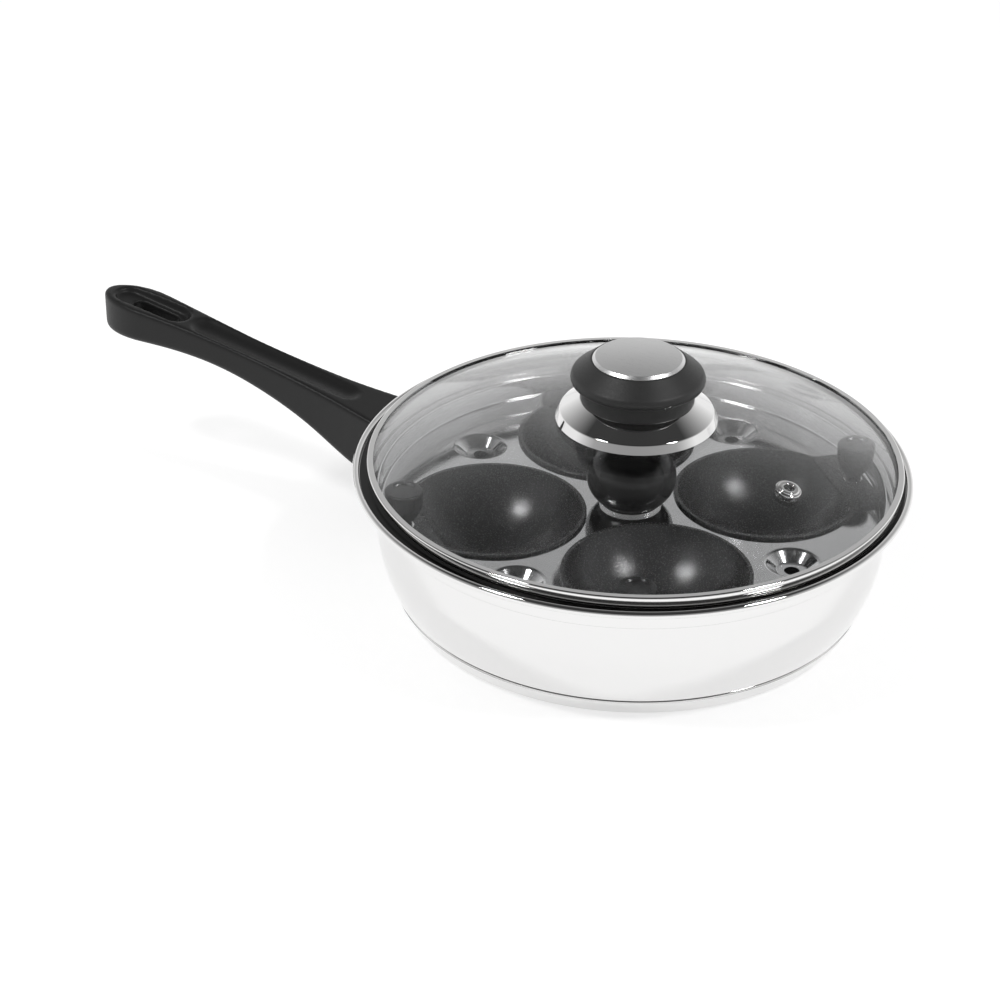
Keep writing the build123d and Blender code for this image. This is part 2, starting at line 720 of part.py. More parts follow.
def lid_washer():
    """Steel washer under the soft ring."""
    low = gasket_low_z - lid_washer_height
    return lid_place * ring(lid_washer_r, lid_screw_r + thread_gap, low, gasket_low_z)


def lid_screw():
    """Screw that draws the knob down on to the glass."""
    low = gasket_low_z - lid_washer_height - lid_screw_head_height
    return lid_place * slotted_screw(lid_screw_r, lid_screw_head_r, lid_screw_head_height, low,
                                     skirt_top_z + lid_screw_depth, screw_slot_width, screw_slot_depth)


pieces = {
    "pan_body": pan_body(), "base_cap": base_cap(), "base_core": base_core(),
    "handle_bracket": handle_bracket(), "handle_grip": handle_grip(), "handle_screw": handle_screw(),
    "tray_plate": tray_plate(), "tray_knob_collar": tray_knob_collar(), "tray_knob": tray_knob(),
    "tray_knob_washer": tray_knob_washer(), "tray_knob_screw": tray_knob_screw(),
    "lid_band": lid_band(), "lid_glass": lid_glass(), "vent_eyelet": vent_eyelet(),
    "lid_knob_skirt": lid_knob_skirt(), "lid_knob_body": lid_knob_body(), "lid_knob_disc": lid_knob_disc(),
    "lid_gasket": lid_gasket(), "lid_washer": lid_washer(), "lid_screw": lid_screw(),
}
cup_parts = {"shell": cup_shell(), "knob": cup_knob(), "knob_ring": cup_knob_ring(), "screw": cup_screw()}
for i in range(cup_count):
    for part_name, part in cup_parts.items():
        pieces[f"cup_{i + 1}_{part_name}"] = cup_place(i) * Rot(0, 0, cup_turn_degs[i]) * part
for name, piece in pieces.items():
    export_step(piece, f"parts/{name}.step")
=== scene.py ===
import json
import math

import bmesh
import bpy
from bpy.props import FloatProperty, FloatVectorProperty, IntProperty, PointerProperty
from mathutils import Matrix, Vector


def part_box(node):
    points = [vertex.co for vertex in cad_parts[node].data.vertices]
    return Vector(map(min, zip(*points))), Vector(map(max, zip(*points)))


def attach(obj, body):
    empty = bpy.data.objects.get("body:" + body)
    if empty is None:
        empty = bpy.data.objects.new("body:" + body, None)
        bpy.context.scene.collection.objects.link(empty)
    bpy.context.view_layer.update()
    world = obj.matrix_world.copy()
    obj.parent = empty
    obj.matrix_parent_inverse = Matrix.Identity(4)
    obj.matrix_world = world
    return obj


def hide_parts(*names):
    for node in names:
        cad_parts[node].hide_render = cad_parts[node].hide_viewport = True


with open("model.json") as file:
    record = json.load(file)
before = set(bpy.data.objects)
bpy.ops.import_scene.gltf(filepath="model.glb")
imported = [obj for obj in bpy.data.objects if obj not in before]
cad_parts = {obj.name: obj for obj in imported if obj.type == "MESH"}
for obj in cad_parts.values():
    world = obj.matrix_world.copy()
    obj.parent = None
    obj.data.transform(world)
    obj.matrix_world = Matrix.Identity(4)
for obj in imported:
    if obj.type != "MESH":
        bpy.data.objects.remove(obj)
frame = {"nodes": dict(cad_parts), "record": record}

bl_info = {
    "name": "Egg Poacher Pan",
    "version": (1, 0, 0),
    "blender": (4, 5, 0),
    "location": "3D View > Sidebar > Poacher Pan",
    "description": "Dresses a four-cup egg poacher pan: polished pan, tray, cups, glass lid and stick handle",
    "category": "Object",
}

MM = 0.001
FULL_TURN = 2 * math.pi
MERGE_DISTANCE = 0.001 * MM
SHARP_ANGLE = math.radians(40)
CUP_COUNT = 4
RIM_STEPS, KNOB_STEPS, PIECE_STEPS, SMALL_STEPS, TINY_STEPS = 256, 192, 128, 96, 64
FIT_GAP = 0.1 * MM
SOFT_EDGE = 0.4 * MM
FINE_EDGE = 0.15 * MM
BRUSH_STRETCH = (120, 4500, 1)
FLOOR_RADIUS = 12.0
SENSOR_WIDTH = 36.0
LAMPS = {"lamp_right": (0.565, -0.21, 0.795), "lamp_left": (-0.5, -0.2, 0.84)}
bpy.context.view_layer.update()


def size(name, description, millimetres):
    """Length that a user can change, given in millimetres and kept in metres."""
    return FloatProperty(name=name, description=description, default=millimetres * MM, unit="LENGTH",
                         precision=5)


def angle(name, description, degrees):
    """Angle that a user can change, given in degrees and kept in radians."""
    return FloatProperty(name=name, description=description, default=math.radians(degrees), subtype="ANGLE")


def amount(name, description, value):
    """Plain number that a user can change."""
    return FloatProperty(name=name, description=description, default=value)


def tint(name, description, grey, warmth=0.0):
    """Colour that a user can change, near grey and a little warmer or cooler."""
    return FloatVectorProperty(name=name, description=description, subtype="COLOR", min=0, max=1,
                               default=(grey + warmth, grey, grey - warmth))


class PanSizes(bpy.types.PropertyGroup):
    """Sizes of the pan and its sandwich base."""
    sheet: size("Sheet", "Thickness of the pan's steel", 0.7)
    floor_z: size("Floor height", "Underside of the pan's floor", 6.0)
    floor_r: size("Floor radius", "Radius where the floor would meet the flare", 91.1)
    knuckle_r: size("Knuckle", "Bend between floor and flare", 5.0)
    flare: angle("Flare", "Slope of the lower wall", 60.0)
    wall_r: size("Wall radius", "Outside radius of the wall", 98.3)
    wall_bend_r: size("Wall bend", "Bend between flare and wall", 43.0)
    step_z: size("Step height", "Height where the tray hangs", 45.0)
    upper_r: size("Upper radius", "Outside radius of the wall over the step", 100.9)
    ledge_z: size("Ledge height", "Height where the lid stands", 53.3)
    fold_r: size("Fold", "Outer bend of the step and the ledge", 0.3)
    step_bend_r: size("Step bend", "Bend at the outer edge of the step", 1.3)
    rim_r: size("Rim radius", "Outer radius of the rolled rim", 107.5)
    curl_r: size("Curl", "Radius of the rolled rim's roll", 1.35)
    curl_turn: angle("Curl turn", "How far round the rim is rolled", 285.0)
    cap_sheet: size("Cap sheet", "Thickness of the base's steel cap", 0.6)
    cap_corner_r: size("Cap corner", "Radius where the cap turns up", 88.7)
    cap_bend_r: size("Cap bend", "Bend where the cap turns up", 2.5)
    cap_top_r: size("Cap top", "Radius of the cap's upper edge", 92.0)
    cap_height: size("Cap height", "Height of the cap's upper edge", 6.8)


class HandleSizes(bpy.types.PropertyGroup):
    """How finely the moulded handle is drawn."""
    grain: size("Voxel", "Size of the cells that the moulding is drawn with", 0.62)
    softness: IntProperty(name="Softness", description="Passes that round the moulding's edges", default=7,
                          min=0)


class TraySizes(bpy.types.PropertyGroup):
    """Sizes of the drop-in tray."""
    sheet: size("Sheet", "Thickness of the tray's steel", 0.6)
    low_z: size("Underside", "Underside of the tray's floor", 36.6)
    wall_r: size("Wall radius", "Outside radius of the tray's wall", 97.1)
    corner_r: size("Corner", "Bend between floor and wall", 1.6)
    flange_z: size("Flange height", "Underside of the flange", 45.0)
    flange_r: size("Flange radius", "Outer radius of the flange", 99.5)
    fold_r: size("Fold", "Bend between wall and flange", 0.4)
    cup_pitch_r: size("Cup pitch", "Distance of each cup's axis from the pan's", 53.3)
    cup_first: angle("First cup", "Direction of the first cup", 36.6)
    hole_r: size("Cup hole", "Radius of each hole for a cup", 34.9)
    dimple_pitch_r: size("Dimple pitch", "Distance of each dimple's axis from the pan's", 73.0)
    dimple_rim_r: size("Dimple rim", "Radius where a dimple meets the flat floor", 11.6)
    dimple_r: size("Dimple radius", "Radius where the dimple's cone starts", 10.4)
    dimple_flat_r: size("Dimple flat", "Radius of the dimple's flat bottom", 6.0)
    dimple_depth: size("Dimple depth", "Depth of each dimple", 3.6)
    dimple_bend_r: size("Dimple bend", "Bends of the dimple's cone", 1.6)
    vent_r: size("Steam hole", "Radius of the hole in each dimple", 2.9)


class TrayKnobSizes(bpy.types.PropertyGroup):
    """Sizes of the rounded knob on the tray and its collar."""
    collar_r: size("Collar radius", "Radius of the bright collar", 12.0)
    collar_height: size("Collar height", "Height of the bright collar", 1.3)
    base_r: size("Base radius", "Radius of the flat that stands on the collar", 11.0)
    wide_r: size("Widest radius", "Largest radius of the knob", 17.3)
    side_r: size("Side bulge", "Bulge radius of the knob's side", 12.0)
    crown_r: size("Crown bulge", "Bulge radius of the knob's crown", 26.5)


class CupSizes(bpy.types.PropertyGroup):
    """Sizes of the four egg cups and their knobs."""
    opening_r: size("Opening", "Radius of the cup's opening", 34.0)
    depth: size("Depth", "Depth of the cup", 22.0)
    wall: size("Wall", "Thickness of the cup", 0.8)
    rim_r: size("Rim radius", "Outer radius of the beaded rim", 35.7)
    rim_height: size("Rim height", "Height of the beaded rim over the tray", 1.2)
    rim_edge_r: size("Rim edge", "Rounding of the beaded rim", 0.45)
    ear_reach: size("Ear reach", "Distance of the ear's end from the cup's axis", 41.6)
    ear_half: size("Ear half width", "Half the width of the ear", 21.0)
    ear_corner_r: size("Ear corner", "Rounding of the ear's corners", 6.0)
    ear_lift: size("Ear lift", "How far the ear stands off the tray", 0.02)
    knob_from_cup: size("Knob place", "Distance of the knob from the cup's axis", 36.5)
    ring_r: size("Ring radius", "Radius of the bright ring under the knob", 3.7)
    ring_height: size("Ring height", "Height of the bright ring", 0.5)
    foot_r: size("Foot radius", "Radius of the knob's foot", 2.9)
    neck_height: size("Neck height", "Height of the neck over the ring", 1.6)
    neck_bend_r: size("Neck bend", "Rounding where the neck opens out", 2.0)
    belly_r: size("Belly radius", "Radius of the corner that the belly rounds", 6.9)
    belly_height: size("Belly height", "Height of the belly over the ring", 6.6)
    belly_bend_r: size("Belly bend", "Rounding of the belly", 8.0)
    head_r: size("Head radius", "Radius of the knob's head", 7.3)
    head_edge_r: size("Head edge", "Rounding of the head's upper edge", 0.9)
    knob_height: size("Knob height", "Height of the knob", 14.8)
    dish_r: size("Dish radius", "Radius of the dish in the head", 5.3)
    dish_depth: size("Dish depth", "Depth of the dish in the head", 0.7)


class LidSizes(bpy.types.PropertyGroup):
    """Sizes of the glass lid, its band and its vent."""
    shift: size("Shift", "How far the lid lies to one side", 1.0)
    shift_turn: angle("Shift direction", "Which way the lid lies", 25.0)
    band_sheet: size("Band sheet", "Thickness of the band's steel", 0.6)
    band_r: size("Band radius", "Outside radius of the band", 102.8)
    band_height: size("Band height", "Height of the band", 5.6)
    lip_r: size("Lip radius", "Inner radius of the lip over the glass", 100.4)
    foot_r: size("Foot radius", "Inner radius of the foot under the glass", 100.9)
    band_bend_r: size("Band bend", "Bends of the band", 0.6)
    apex_z: size("Apex height", "Height of the glass at its middle", 77.2)
    glass: size("Glass", "Thickness of the glass", 3.4)
    glass_gap: size("Glass gap", "Gap between the glass's edge and the band", 0.3)
    bore_r: size("Bore", "Radius of the glass's middle bore", 3.2)
    vent_from_axis: size("Vent place", "Distance of the vent from the lid's axis", 68.8)
    vent_turn: angle("Vent direction", "Direction of the vent", -9.5)
    vent_hole_r: size("Vent hole", "Radius of the hole through the vent", 2.1)
    vent_tube_r: size("Vent tube", "Outside radius of the vent's tube", 2.7)
    vent_brim_r: size("Vent brim", "Radius of the vent's brim on the glass", 4.9)
    vent_brim_height: size("Brim height", "Thickness of the vent's brim", 0.5)
    vent_lip_r: size("Vent lip", "Radius of the vent's rolled lip", 3.8)
    vent_lip_height: size("Lip height", "Height of the rolled lip over the glass", 1.3)
    vent_foot_r: size("Vent foot", "Radius of the vent's foot under the glass", 4.5)


class LidKnobSizes(bpy.types.PropertyGroup):
    """Sizes of the knob on the lid."""
    skirt_sheet: size("Skirt sheet", "Thickness of the polished skirt", 0.6)
    skirt_r: size("Skirt radius", "Radius of the polished skirt's foot", 30.4)
    skirt_seat_z: size("Skirt seat", "Height of the skirt under the black neck", 79.8)
    skirt_bore_r: size("Skirt bore", "Radius of the skirt's hole for the screw", 2.55)
    skirt_seat_r: size("Skirt seat radius", "Radius of the flat that stands on the glass", 9.0)
    skirt_rise_r: size("Skirt rise", "Radius where the skirt has risen from the glass", 13.0)
    skirt_seat_bend_r: size("Skirt seat bend", "Roundings of the skirt's rise from the glass", 2.0)
    skirt_neck_r: size("Skirt neck", "Radius where the skirt rises to the black ring", 19.2)
    skirt_crown_r: size("Skirt crown radius", "Radius where the skirt starts to fall", 21.6)
    skirt_crown_z: size("Skirt crown", "Height where the skirt starts to fall", 83.5)
    skirt_edge_r: size("Skirt edge radius", "Radius where the bright edge band starts", 28.9)
    skirt_edge_z: size("Skirt edge", "Height where the bright edge band starts", 78.7)
    skirt_bend_r: size("Skirt bend", "Roundings of the skirt", 0.5)
    neck_r: size("Neck radius", "Radius of the black neck on the skirt", 18.0)
    ring_z: size("Ring height", "Underside of the black ring", 83.6)
    ring_r: size("Ring radius", "Radius of the black ring", 21.7)
    ring_bend_r: size("Ring bend", "Rounding of the black ring's lower edge", 0.6)
    groove_z: size("Groove height", "Height of the groove over the ring", 90.6)
    groove: size("Groove", "Width and depth of the groove", 0.5)
    brim_z: size("Brim height", "Underside of the overhanging part", 91.1)
    brim_r: size("Brim radius", "Radius of the overhanging part's lower edge", 25.0)
    brim_bend_r: size("Brim bend", "Rounding of the overhanging part's lower edge", 0.8)
    wide_z: size("Widest height", "Height of the corner that the widest place rounds", 93.7)
    wide_r: size("Widest corner", "Radius of the corner that the widest place rounds", 26.4)
    wide_bend_r: size("Widest bend", "Rounding of the widest place", 3.0)
    shoulder_z: size("Shoulder height", "Height of the shoulder", 98.2)
    shoulder_r: size("Shoulder radius", "Radius of the shoulder", 20.6)
    shoulder_bend_r: size("Shoulder bend", "Rounding of the shoulder", 9.0)
    top_z: size("Top height", "Height of the black body's top", 100.1)
    top_r: size("Top radius", "Radius of the black body's top", 18.2)
    top_bend_r: size("Top bend", "Rounding of the black body's top edge", 0.5)
    disc_r: size("Disc radius", "Radius of the brushed disc", 17.5)
    disc_height: size("Disc height", "Height of the brushed disc", 1.9)
    disc_edge: size("Disc edge", "Size of the polished bevel", 1.1)
    disc_bend_r: size("Disc bend", "Rounding of the bevel's edges", 0.1)
    disc_dome: size("Disc dome", "How far the disc's middle stands over its edge", 0.7)


class Finishes(bpy.types.PropertyGroup):
    """Colours of the pan's finishes."""
    polished: tint("Polished steel", "Mirror-polished steel", 0.79, 0.003)
    rolled: tint("Rolled steel", "Bright steel of the tray", 0.74)
    plain: tint("Plain steel", "Steel of the hidden fixings", 0.60)
    brushed: tint("Brushed steel", "Steel of the knob's disc", 0.72)
    aluminium: tint("Aluminium", "Heat-spreading core", 0.75)
    handle: tint("Handle black", "Satin black of the handle", 0.012)
    knob: tint("Knob black", "Fine-grained black of the knobs", 0.014)
    coating: tint("Coating", "Non-stick coating of the cups", 0.022)
    glass: tint("Glass", "Clear glass", 0.985, -0.004)
    rubber: tint("Rubber", "Translucent sealing ring", 0.72)
    floor: tint("Floor", "Pale floor of the stage", 0.58)


class StageSettings(bpy.types.PropertyGroup):
    """Camera, lamps and floor."""
    distance: size("Camera distance", "Distance of the camera from the middle of the pan's base", 991.05)
    azimuth: angle("Azimuth", "Direction that the camera looks from", 25.0)
    elevation: angle("Elevation", "Height of the camera over the floor, as an angle", 31.878)
    yaw: angle("Yaw", "How far the camera turns aside from the base", -2.986)
    pitch: angle("Pitch", "How far the camera tips up from the base", 1.837)
    roll: angle("Roll", "How far the camera leans", 0.577)
    lens: amount("Lens", "Focal length for the 36 mm sensor, in millimetres", 90.0)
    lamp_power: amount("Lamp power", "Power of each soft lamp, in watts", 6.0)
    lamp_size: size("Lamp size", "Side of each soft lamp", 240.0)
    lamp_distance: size("Lamp distance", "Distance of each soft lamp", 1500.0)
    backdrop: amount("Backdrop", "Brightness of the low backdrop in reflections", 1.0)
    ceiling: amount("Ceiling", "Brightness overhead in reflections", 0.05)
    near_side: amount("Near side", "Share of that brightness on the camera's side", 0.5)
    backdrop_top: angle("Backdrop top", "Height up to which the backdrop stays bright, as an angle", 11.0)
    ceiling_start: angle("Ceiling start", "Height where the dark ceiling starts, as an angle", 54.0)
    room_light: amount("Room light", "Even light on matt surfaces", 0.58)
    floor_glow: amount("Floor glow", "Brightness added to the floor as it is seen", 0.54)


SETTINGS = {
    "poacher_pan": PanSizes, "poacher_handle": HandleSizes, "poacher_tray": TraySizes,
    "poacher_tray_knob": TrayKnobSizes, "poacher_cups": CupSizes, "poacher_lid": LidSizes,
    "poacher_lid_knob": LidKnobSizes, "poacher_finishes": Finishes, "poacher_stage": StageSettings,
}


def draw_bent(bm, corners, closed=False, bend_steps=8):
    """Wire in the XZ plane through corners of radius, height and bend radius, with its bends rounded."""
    places = [Vector((r, 0, z)) for r, z, bend in corners]
    verts = [bm.verts.new(place) for place in places]
    pairs = list(zip(verts, verts[1:])) + ([(verts[-1], verts[0])] if closed else [])
    for pair in pairs:
        bm.edges.new(pair)
    for i, vert in enumerate(verts):
        bend = corners[i][2]
        if bend:
            before = places[i] - places[i - 1]
            after = places[(i + 1) % len(places)] - places[i]
            reach = bend * math.tan(before.angle(after) / 2)
            bmesh.ops.bevel(bm, geom=[vert], offset=reach, offset_type="OFFSET", segments=bend_steps,
                            profile=0.5, affect="VERTICES", material=-1)


def draw_arc(bm, start, centre, turn, steps):
    """Arc in the XZ plane from a place, turned about a centre, and its last place."""
    vert = bm.verts.new((start[0], 0, start[1]))
    made = bmesh.ops.spin(bm, geom=[vert], cent=(centre[0], 0, centre[1]), axis=(0, -1, 0), angle=turn,
                          steps=steps, use_duplicate=False)
    last = [v for v in made["geom_last"] if isinstance(v, bmesh.types.BMVert)][0]
    return last.co.x, last.co.z


def turn_round(bm, steps, place=Matrix.Identity(4)):
    """Turns everything drawn in the XZ plane into a surface about Z, then moves it to its place."""
    bmesh.ops.remove_doubles(bm, verts=bm.verts, dist=MERGE_DISTANCE)
    bmesh.ops.spin(bm, geom=bm.verts[:] + bm.edges[:], cent=(0, 0, 0), axis=(0, 0, 1), angle=FULL_TURN,
                   steps=steps, use_merge=True)
    bmesh.ops.remove_doubles(bm, verts=bm.verts, dist=MERGE_DISTANCE)
    bmesh.ops.recalc_face_normals(bm, faces=bm.faces)
    bmesh.ops.transform(bm, matrix=place, verts=bm.verts)


def thicken(bm, thickness, facing):
    """Gives an open sheet its thickness, behind faces that look the given way where they are nearest Z."""
    first = min(bm.faces, key=lambda face: face.calc_center_median().xy.length)
    if first.normal.dot(Vector(facing)) < 0:
        bmesh.ops.reverse_faces(bm, faces=bm.faces)
    bmesh.ops.solidify(bm, geom=bm.faces[:], thickness=thickness)


def finish_mesh(bm, name):
    """Mesh made from a drawing, which is then let go."""
    mesh = bpy.data.meshes.new(name)
    bm.to_mesh(mesh)
    bm.free()
    return mesh


def add_object(name, data):
    """Object linked into the scene."""
    made = bpy.data.objects.new(name, data)
    bpy.context.scene.collection.objects.link(made)
    return made


def add_piece(bm, node, body, slot, finish=None, sharp=SHARP_ANGLE):
    """Makes the look of a node, smooth between its sharp edges, with its own finish or else its slot's, puts
    it under its body's empty and hides the node.
    """
    for edge in bm.edges:
        edge.smooth = len(edge.link_faces) == 2 and edge.calc_face_angle(0) < sharp
    for face in bm.faces:
        face.smooth = True
    piece = add_object(f"{node}_look", finish_mesh(bm, f"{node}_look"))
    piece.data.materials.append(finish_named(finish or slot))
    shading = piece.modifiers.new("Even shading", "WEIGHTED_NORMAL")
    shading.keep_sharp = True
    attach(piece, body)
    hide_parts(node)


def turned_piece(node, body, slot, corners, finish=None, steps=PIECE_STEPS, place=Matrix.Identity(4),
                 bend_steps=6):
    """Solid piece turned about Z from a profile."""
    bm = bmesh.new()
    draw_bent(bm, corners, closed=corners[0][0] > 0, bend_steps=bend_steps)
    turn_round(bm, steps, place)
    add_piece(bm, node, body, slot, finish)


def lid_place():
    """Place of the lid, which lies a little to one side."""
    lid = bpy.context.scene.poacher_lid
    return Matrix.Translation(Matrix.Rotation(lid.shift_turn, 3, "Z") @ Vector((lid.shift, 0, 0)))


def tray_place(index, distance):
    """Place on the tray in steps from its first cup, turned to face outwards."""
    tray = bpy.context.scene.poacher_tray
    turn = tray.cup_first + FULL_TURN / CUP_COUNT * index
    return Matrix.Rotation(turn, 4, "Z") @ Matrix.Translation((distance, 0, 0))


def glass_radius():
    """Bulge radius of the glass's upper face, which rises from under the band's lip."""
    lid = bpy.context.scene.poacher_lid
    pan = bpy.context.scene.poacher_pan
    drop = lid.apex_z - (pan.ledge_z + lid.band_height - lid.band_sheet - FIT_GAP)
    return (lid.lip_r ** 2 + drop ** 2) / (2 * drop)


def new_group(name, inputs, outputs):
    """Shader node group with float inputs given as name and default, and float outputs."""
    group = bpy.data.node_groups.new(name, "ShaderNodeTree")
    group.interface.new_socket("Vector", in_out="INPUT", socket_type="NodeSocketVector")
    for socket_name, default in inputs.items():
        socket = group.interface.new_socket(socket_name, in_out="INPUT", socket_type="NodeSocketFloat")
        socket.default_value = default
    for socket_name in outputs:
        group.interface.new_socket(socket_name, in_out="OUTPUT", socket_type="NodeSocketFloat")
    return group, group.nodes.new("NodeGroupInput"), group.nodes.new("NodeGroupOutput")


def add_noise(tree, vector, scale, detail=2.0, roughness=0.5):
    """Noise texture fed by a vector, with a scale that is a number or a socket."""
    noise = tree.nodes.new("ShaderNodeTexNoise")
    noise.inputs["Detail"].default_value = detail
    noise.inputs["Roughness"].default_value = roughness
    tree.links.new(vector, noise.inputs["Vector"])
    if isinstance(scale, (int, float)):
        noise.inputs["Scale"].default_value = scale
    else:
        tree.links.new(scale, noise.inputs["Scale"])
    return noise


def add_range(tree, value, from_low, from_high, to_low, to_high):
    """Map Range node whose ends are numbers or sockets."""
    node = tree.nodes.new("ShaderNodeMapRange")
    tree.links.new(value, node.inputs["Value"])
    ends = {"From Min": from_low, "From Max": from_high, "To Min": to_low, "To Max": to_high}
    for socket_name, end in ends.items():
        if isinstance(end, (int, float)):
            node.inputs[socket_name].default_value = end
        else:
            tree.links.new(end, node.inputs[socket_name])
    return node.outputs["Result"]


def add_math(tree, operation, first, second):
    """Math node on two numbers or sockets."""
    node = tree.nodes.new("ShaderNodeMath")
    node.operation = operation
    for socket, value in zip(node.inputs, (first, second)):
        if isinstance(value, (int, float)):
            socket.default_value = value
        else:
            tree.links.new(value, socket)
    return node.outputs[0]


def rough_group(name, defaults, detail, roughness, from_low=0.3):
    """Noise as a height, and a roughness between a low and a high value that follows it."""
    group, entry, leave = new_group(name, defaults, ["Roughness", "Height"])
    scale = entry.outputs["Scale"] if "Scale" in defaults else 1.0
    noise = add_noise(group, entry.outputs["Vector"], scale, detail, roughness)
    rough = add_range(group, noise.outputs["Fac"], from_low, 0.7, entry.outputs["Low"], entry.outputs["High"])
    group.links.new(rough, leave.inputs["Roughness"])
    group.links.new(noise.outputs["Fac"], leave.inputs["Height"])
    return group


def sparkle_group(name):
    """Fine sparkle: a mask of small bright flakes."""
    group, entry, leave = new_group(name, {"Scale": 4000.0, "Share": 0.1}, ["Mask"])
    flakes = group.nodes.new("ShaderNodeTexVoronoi")
    group.links.new(entry.outputs["Vector"], flakes.inputs["Vector"])
    group.links.new(entry.outputs["Scale"], flakes.inputs["Scale"])
    split = group.nodes.new("ShaderNodeSeparateColor")
    group.links.new(flakes.outputs["Color"], split.inputs["Color"])
    chosen = add_math(group, "LESS_THAN", split.outputs["Red"], entry.outputs["Share"])
    group.links.new(chosen, leave.inputs["Mask"])
    return group


def ring_group(name):
    """Ring mask: one between two radii about the Z axis and over a height, with blurred ends."""
    defaults = {"From r": 0.0, "To r": 1.0, "From z": 0.0, "Blur": 0.001}
    group, entry, leave = new_group(name, defaults, ["Mask"])
    split = group.nodes.new("ShaderNodeSeparateXYZ")
    group.links.new(entry.outputs["Vector"], split.inputs["Vector"])
    squares = [add_math(group, "MULTIPLY", split.outputs[axis], split.outputs[axis]) for axis in "XY"]
    radius = add_math(group, "SQRT", add_math(group, "ADD", *squares), 0.0)
    blur = entry.outputs["Blur"]
    inner = add_math(group, "DIVIDE", add_math(group, "SUBTRACT", radius, entry.outputs["From r"]), blur)
    outer = add_math(group, "DIVIDE", add_math(group, "SUBTRACT", entry.outputs["To r"], radius), blur)
    height = add_math(group, "SUBTRACT", split.outputs["Z"], entry.outputs["From z"])
    over = add_math(group, "DIVIDE", height, blur)
    mask = add_math(group, "MINIMUM", add_math(group, "MINIMUM", inner, outer), over)
    group.links.new(add_range(group, mask, 0.0, 1.0, 0.0, 1.0), leave.inputs["Mask"])
    return group


GROUP_MAKERS = {
    "Handled polish": lambda name: rough_group(
        name, {"Scale": 60.0, "Low": 0.02, "High": 0.08}, 4.0, 0.5, from_low=0.35),
    "Moulded grain": lambda name: rough_group(
        name, {"Scale": 2500.0, "Low": 0.3, "High": 0.45}, 2.0, 0.6),
    "Brushed lines": lambda name: rough_group(name, {"Low": 0.2, "High": 0.4}, 3.0, 0.7),
    "Fine sparkle": sparkle_group, "Ring mask": ring_group,
}


def place_group(tree, name, vector, **values):
    """Puts a shared effect in a material, made on first use, with this material's own values."""
    group = bpy.data.node_groups.get(name) or GROUP_MAKERS[name](name)
    node = tree.nodes.new("ShaderNodeGroup")
    node.node_tree = group
    tree.links.new(vector, node.inputs["Vector"])
    for socket_name, value in values.items():
        node.inputs[socket_name.replace("_", " ").capitalize()].default_value = value
    return node


def rough_effect(tree, shader, name, vector, **values):
    """Puts a shared effect in a material, where it sets the roughness, and gives its height."""
    effect = place_group(tree, name, vector, **values)
    tree.links.new(effect.outputs["Roughness"], shader.inputs["Roughness"])
    return effect.outputs["Height"]


def start_material(name, colour, metallic, roughness):
    """Principled material with its plain values set, and the object coordinates that its effects read."""
    material = bpy.data.materials.new(name)
    material.use_nodes = True
    tree = material.node_tree
    shader = tree.nodes["Principled BSDF"]
    shader.inputs["Base Color"].default_value = (*colour, 1)
    shader.inputs["Metallic"].default_value = metallic
    shader.inputs["Roughness"].default_value = roughness
    coordinates = tree.nodes.new("ShaderNodeTexCoord")
    return material, tree, shader, coordinates.outputs["Object"]


def add_mapping(tree, vector, scale=(1, 1, 1), turn=0.0):
    """Mapping node that stretches and turns a pattern."""
    mapping = tree.nodes.new("ShaderNodeMapping")
    mapping.inputs["Scale"].default_value = scale
    mapping.inputs["Rotation"].default_value = (0, 0, turn)
    tree.links.new(vector, mapping.inputs["Vector"])
    return mapping.outputs["Vector"]


def add_bump(tree, shader, height, distance, strength=1.0):
    """Bump from a height that changes over the surface."""
    bump = tree.nodes.new("ShaderNodeBump")
    bump.inputs["Distance"].default_value = distance
    bump.inputs["Strength"].default_value = strength
    tree.links.new(height, bump.inputs["Height"])
    tree.links.new(bump.outputs["Normal"], shader.inputs["Normal"])


def vary_colour(tree, shader, mask, colour, first_share, second_share):
    """Mixes the base colour by a mask between two shares of a colour, darker or lighter than it."""
    mix = tree.nodes.new("ShaderNodeMix")
    mix.data_type = "RGBA"
    for socket, share in ((6, first_share), (7, second_share)):
        mix.inputs[socket].default_value = (*(min(part * share, 1.0) for part in colour), 1)
    tree.links.new(mask, mix.inputs[0])
    tree.links.new(mix.outputs[2], shader.inputs["Base Color"])


def steel_material(name, colour, low, high, scale=60.0):
    """Bright steel with a handled polish."""
    material, tree, shader, place = start_material(name, colour, 1.0, low)
    height = rough_effect(tree, shader, "Handled polish", place, scale=scale, low=low, high=high)
    vary_colour(tree, shader, height, colour, 0.985, 1.015)
    return material


def pan_material(name, colour):
    """Mirror polish of the pan; in the narrow groove between the rolled rim and the lid it is rougher, and
    its colour is painted almost black there as painted shade.
    """
    material, tree, shader, place = start_material(name, colour, 1.0, 0.03)
    pan = bpy.context.scene.poacher_pan
    polish = place_group(tree, "Handled polish", place, scale=60.0, low=0.02, high=0.05)
    painted_gutter_shade = place_group(tree, "Ring mask", place, from_r=pan.upper_r - pan.sheet,
                         to_r=pan.rim_r - 2 * pan.curl_r, from_z=pan.ledge_z - pan.curl_r, blur=0.25 * MM)
    rough = add_range(tree, painted_gutter_shade.outputs["Mask"], 0.0, 1.0, polish.outputs["Roughness"], 0.3)
    tree.links.new(rough, shader.inputs["Roughness"])
    # Painted shade: in the groove ring between the rolled rim and the lid the base colour falls to 3 % of the
    # steel's colour.
    vary_colour(tree, shader, painted_gutter_shade.outputs["Mask"], colour, 1.0, 0.03)
    return material


def brushed_material(name, colour, turn):
    """Steel brushed in straight lines."""
    material, tree, shader, place = start_material(name, colour, 1.0, 0.3)
    drawn_out = add_mapping(tree, place, BRUSH_STRETCH, turn)
    height = rough_effect(tree, shader, "Brushed lines", drawn_out, low=0.26, high=0.4)
    vary_colour(tree, shader, height, colour, 0.9, 1.1)
    add_bump(tree, shader, height, 0.02 * MM, 0.6)
    return material


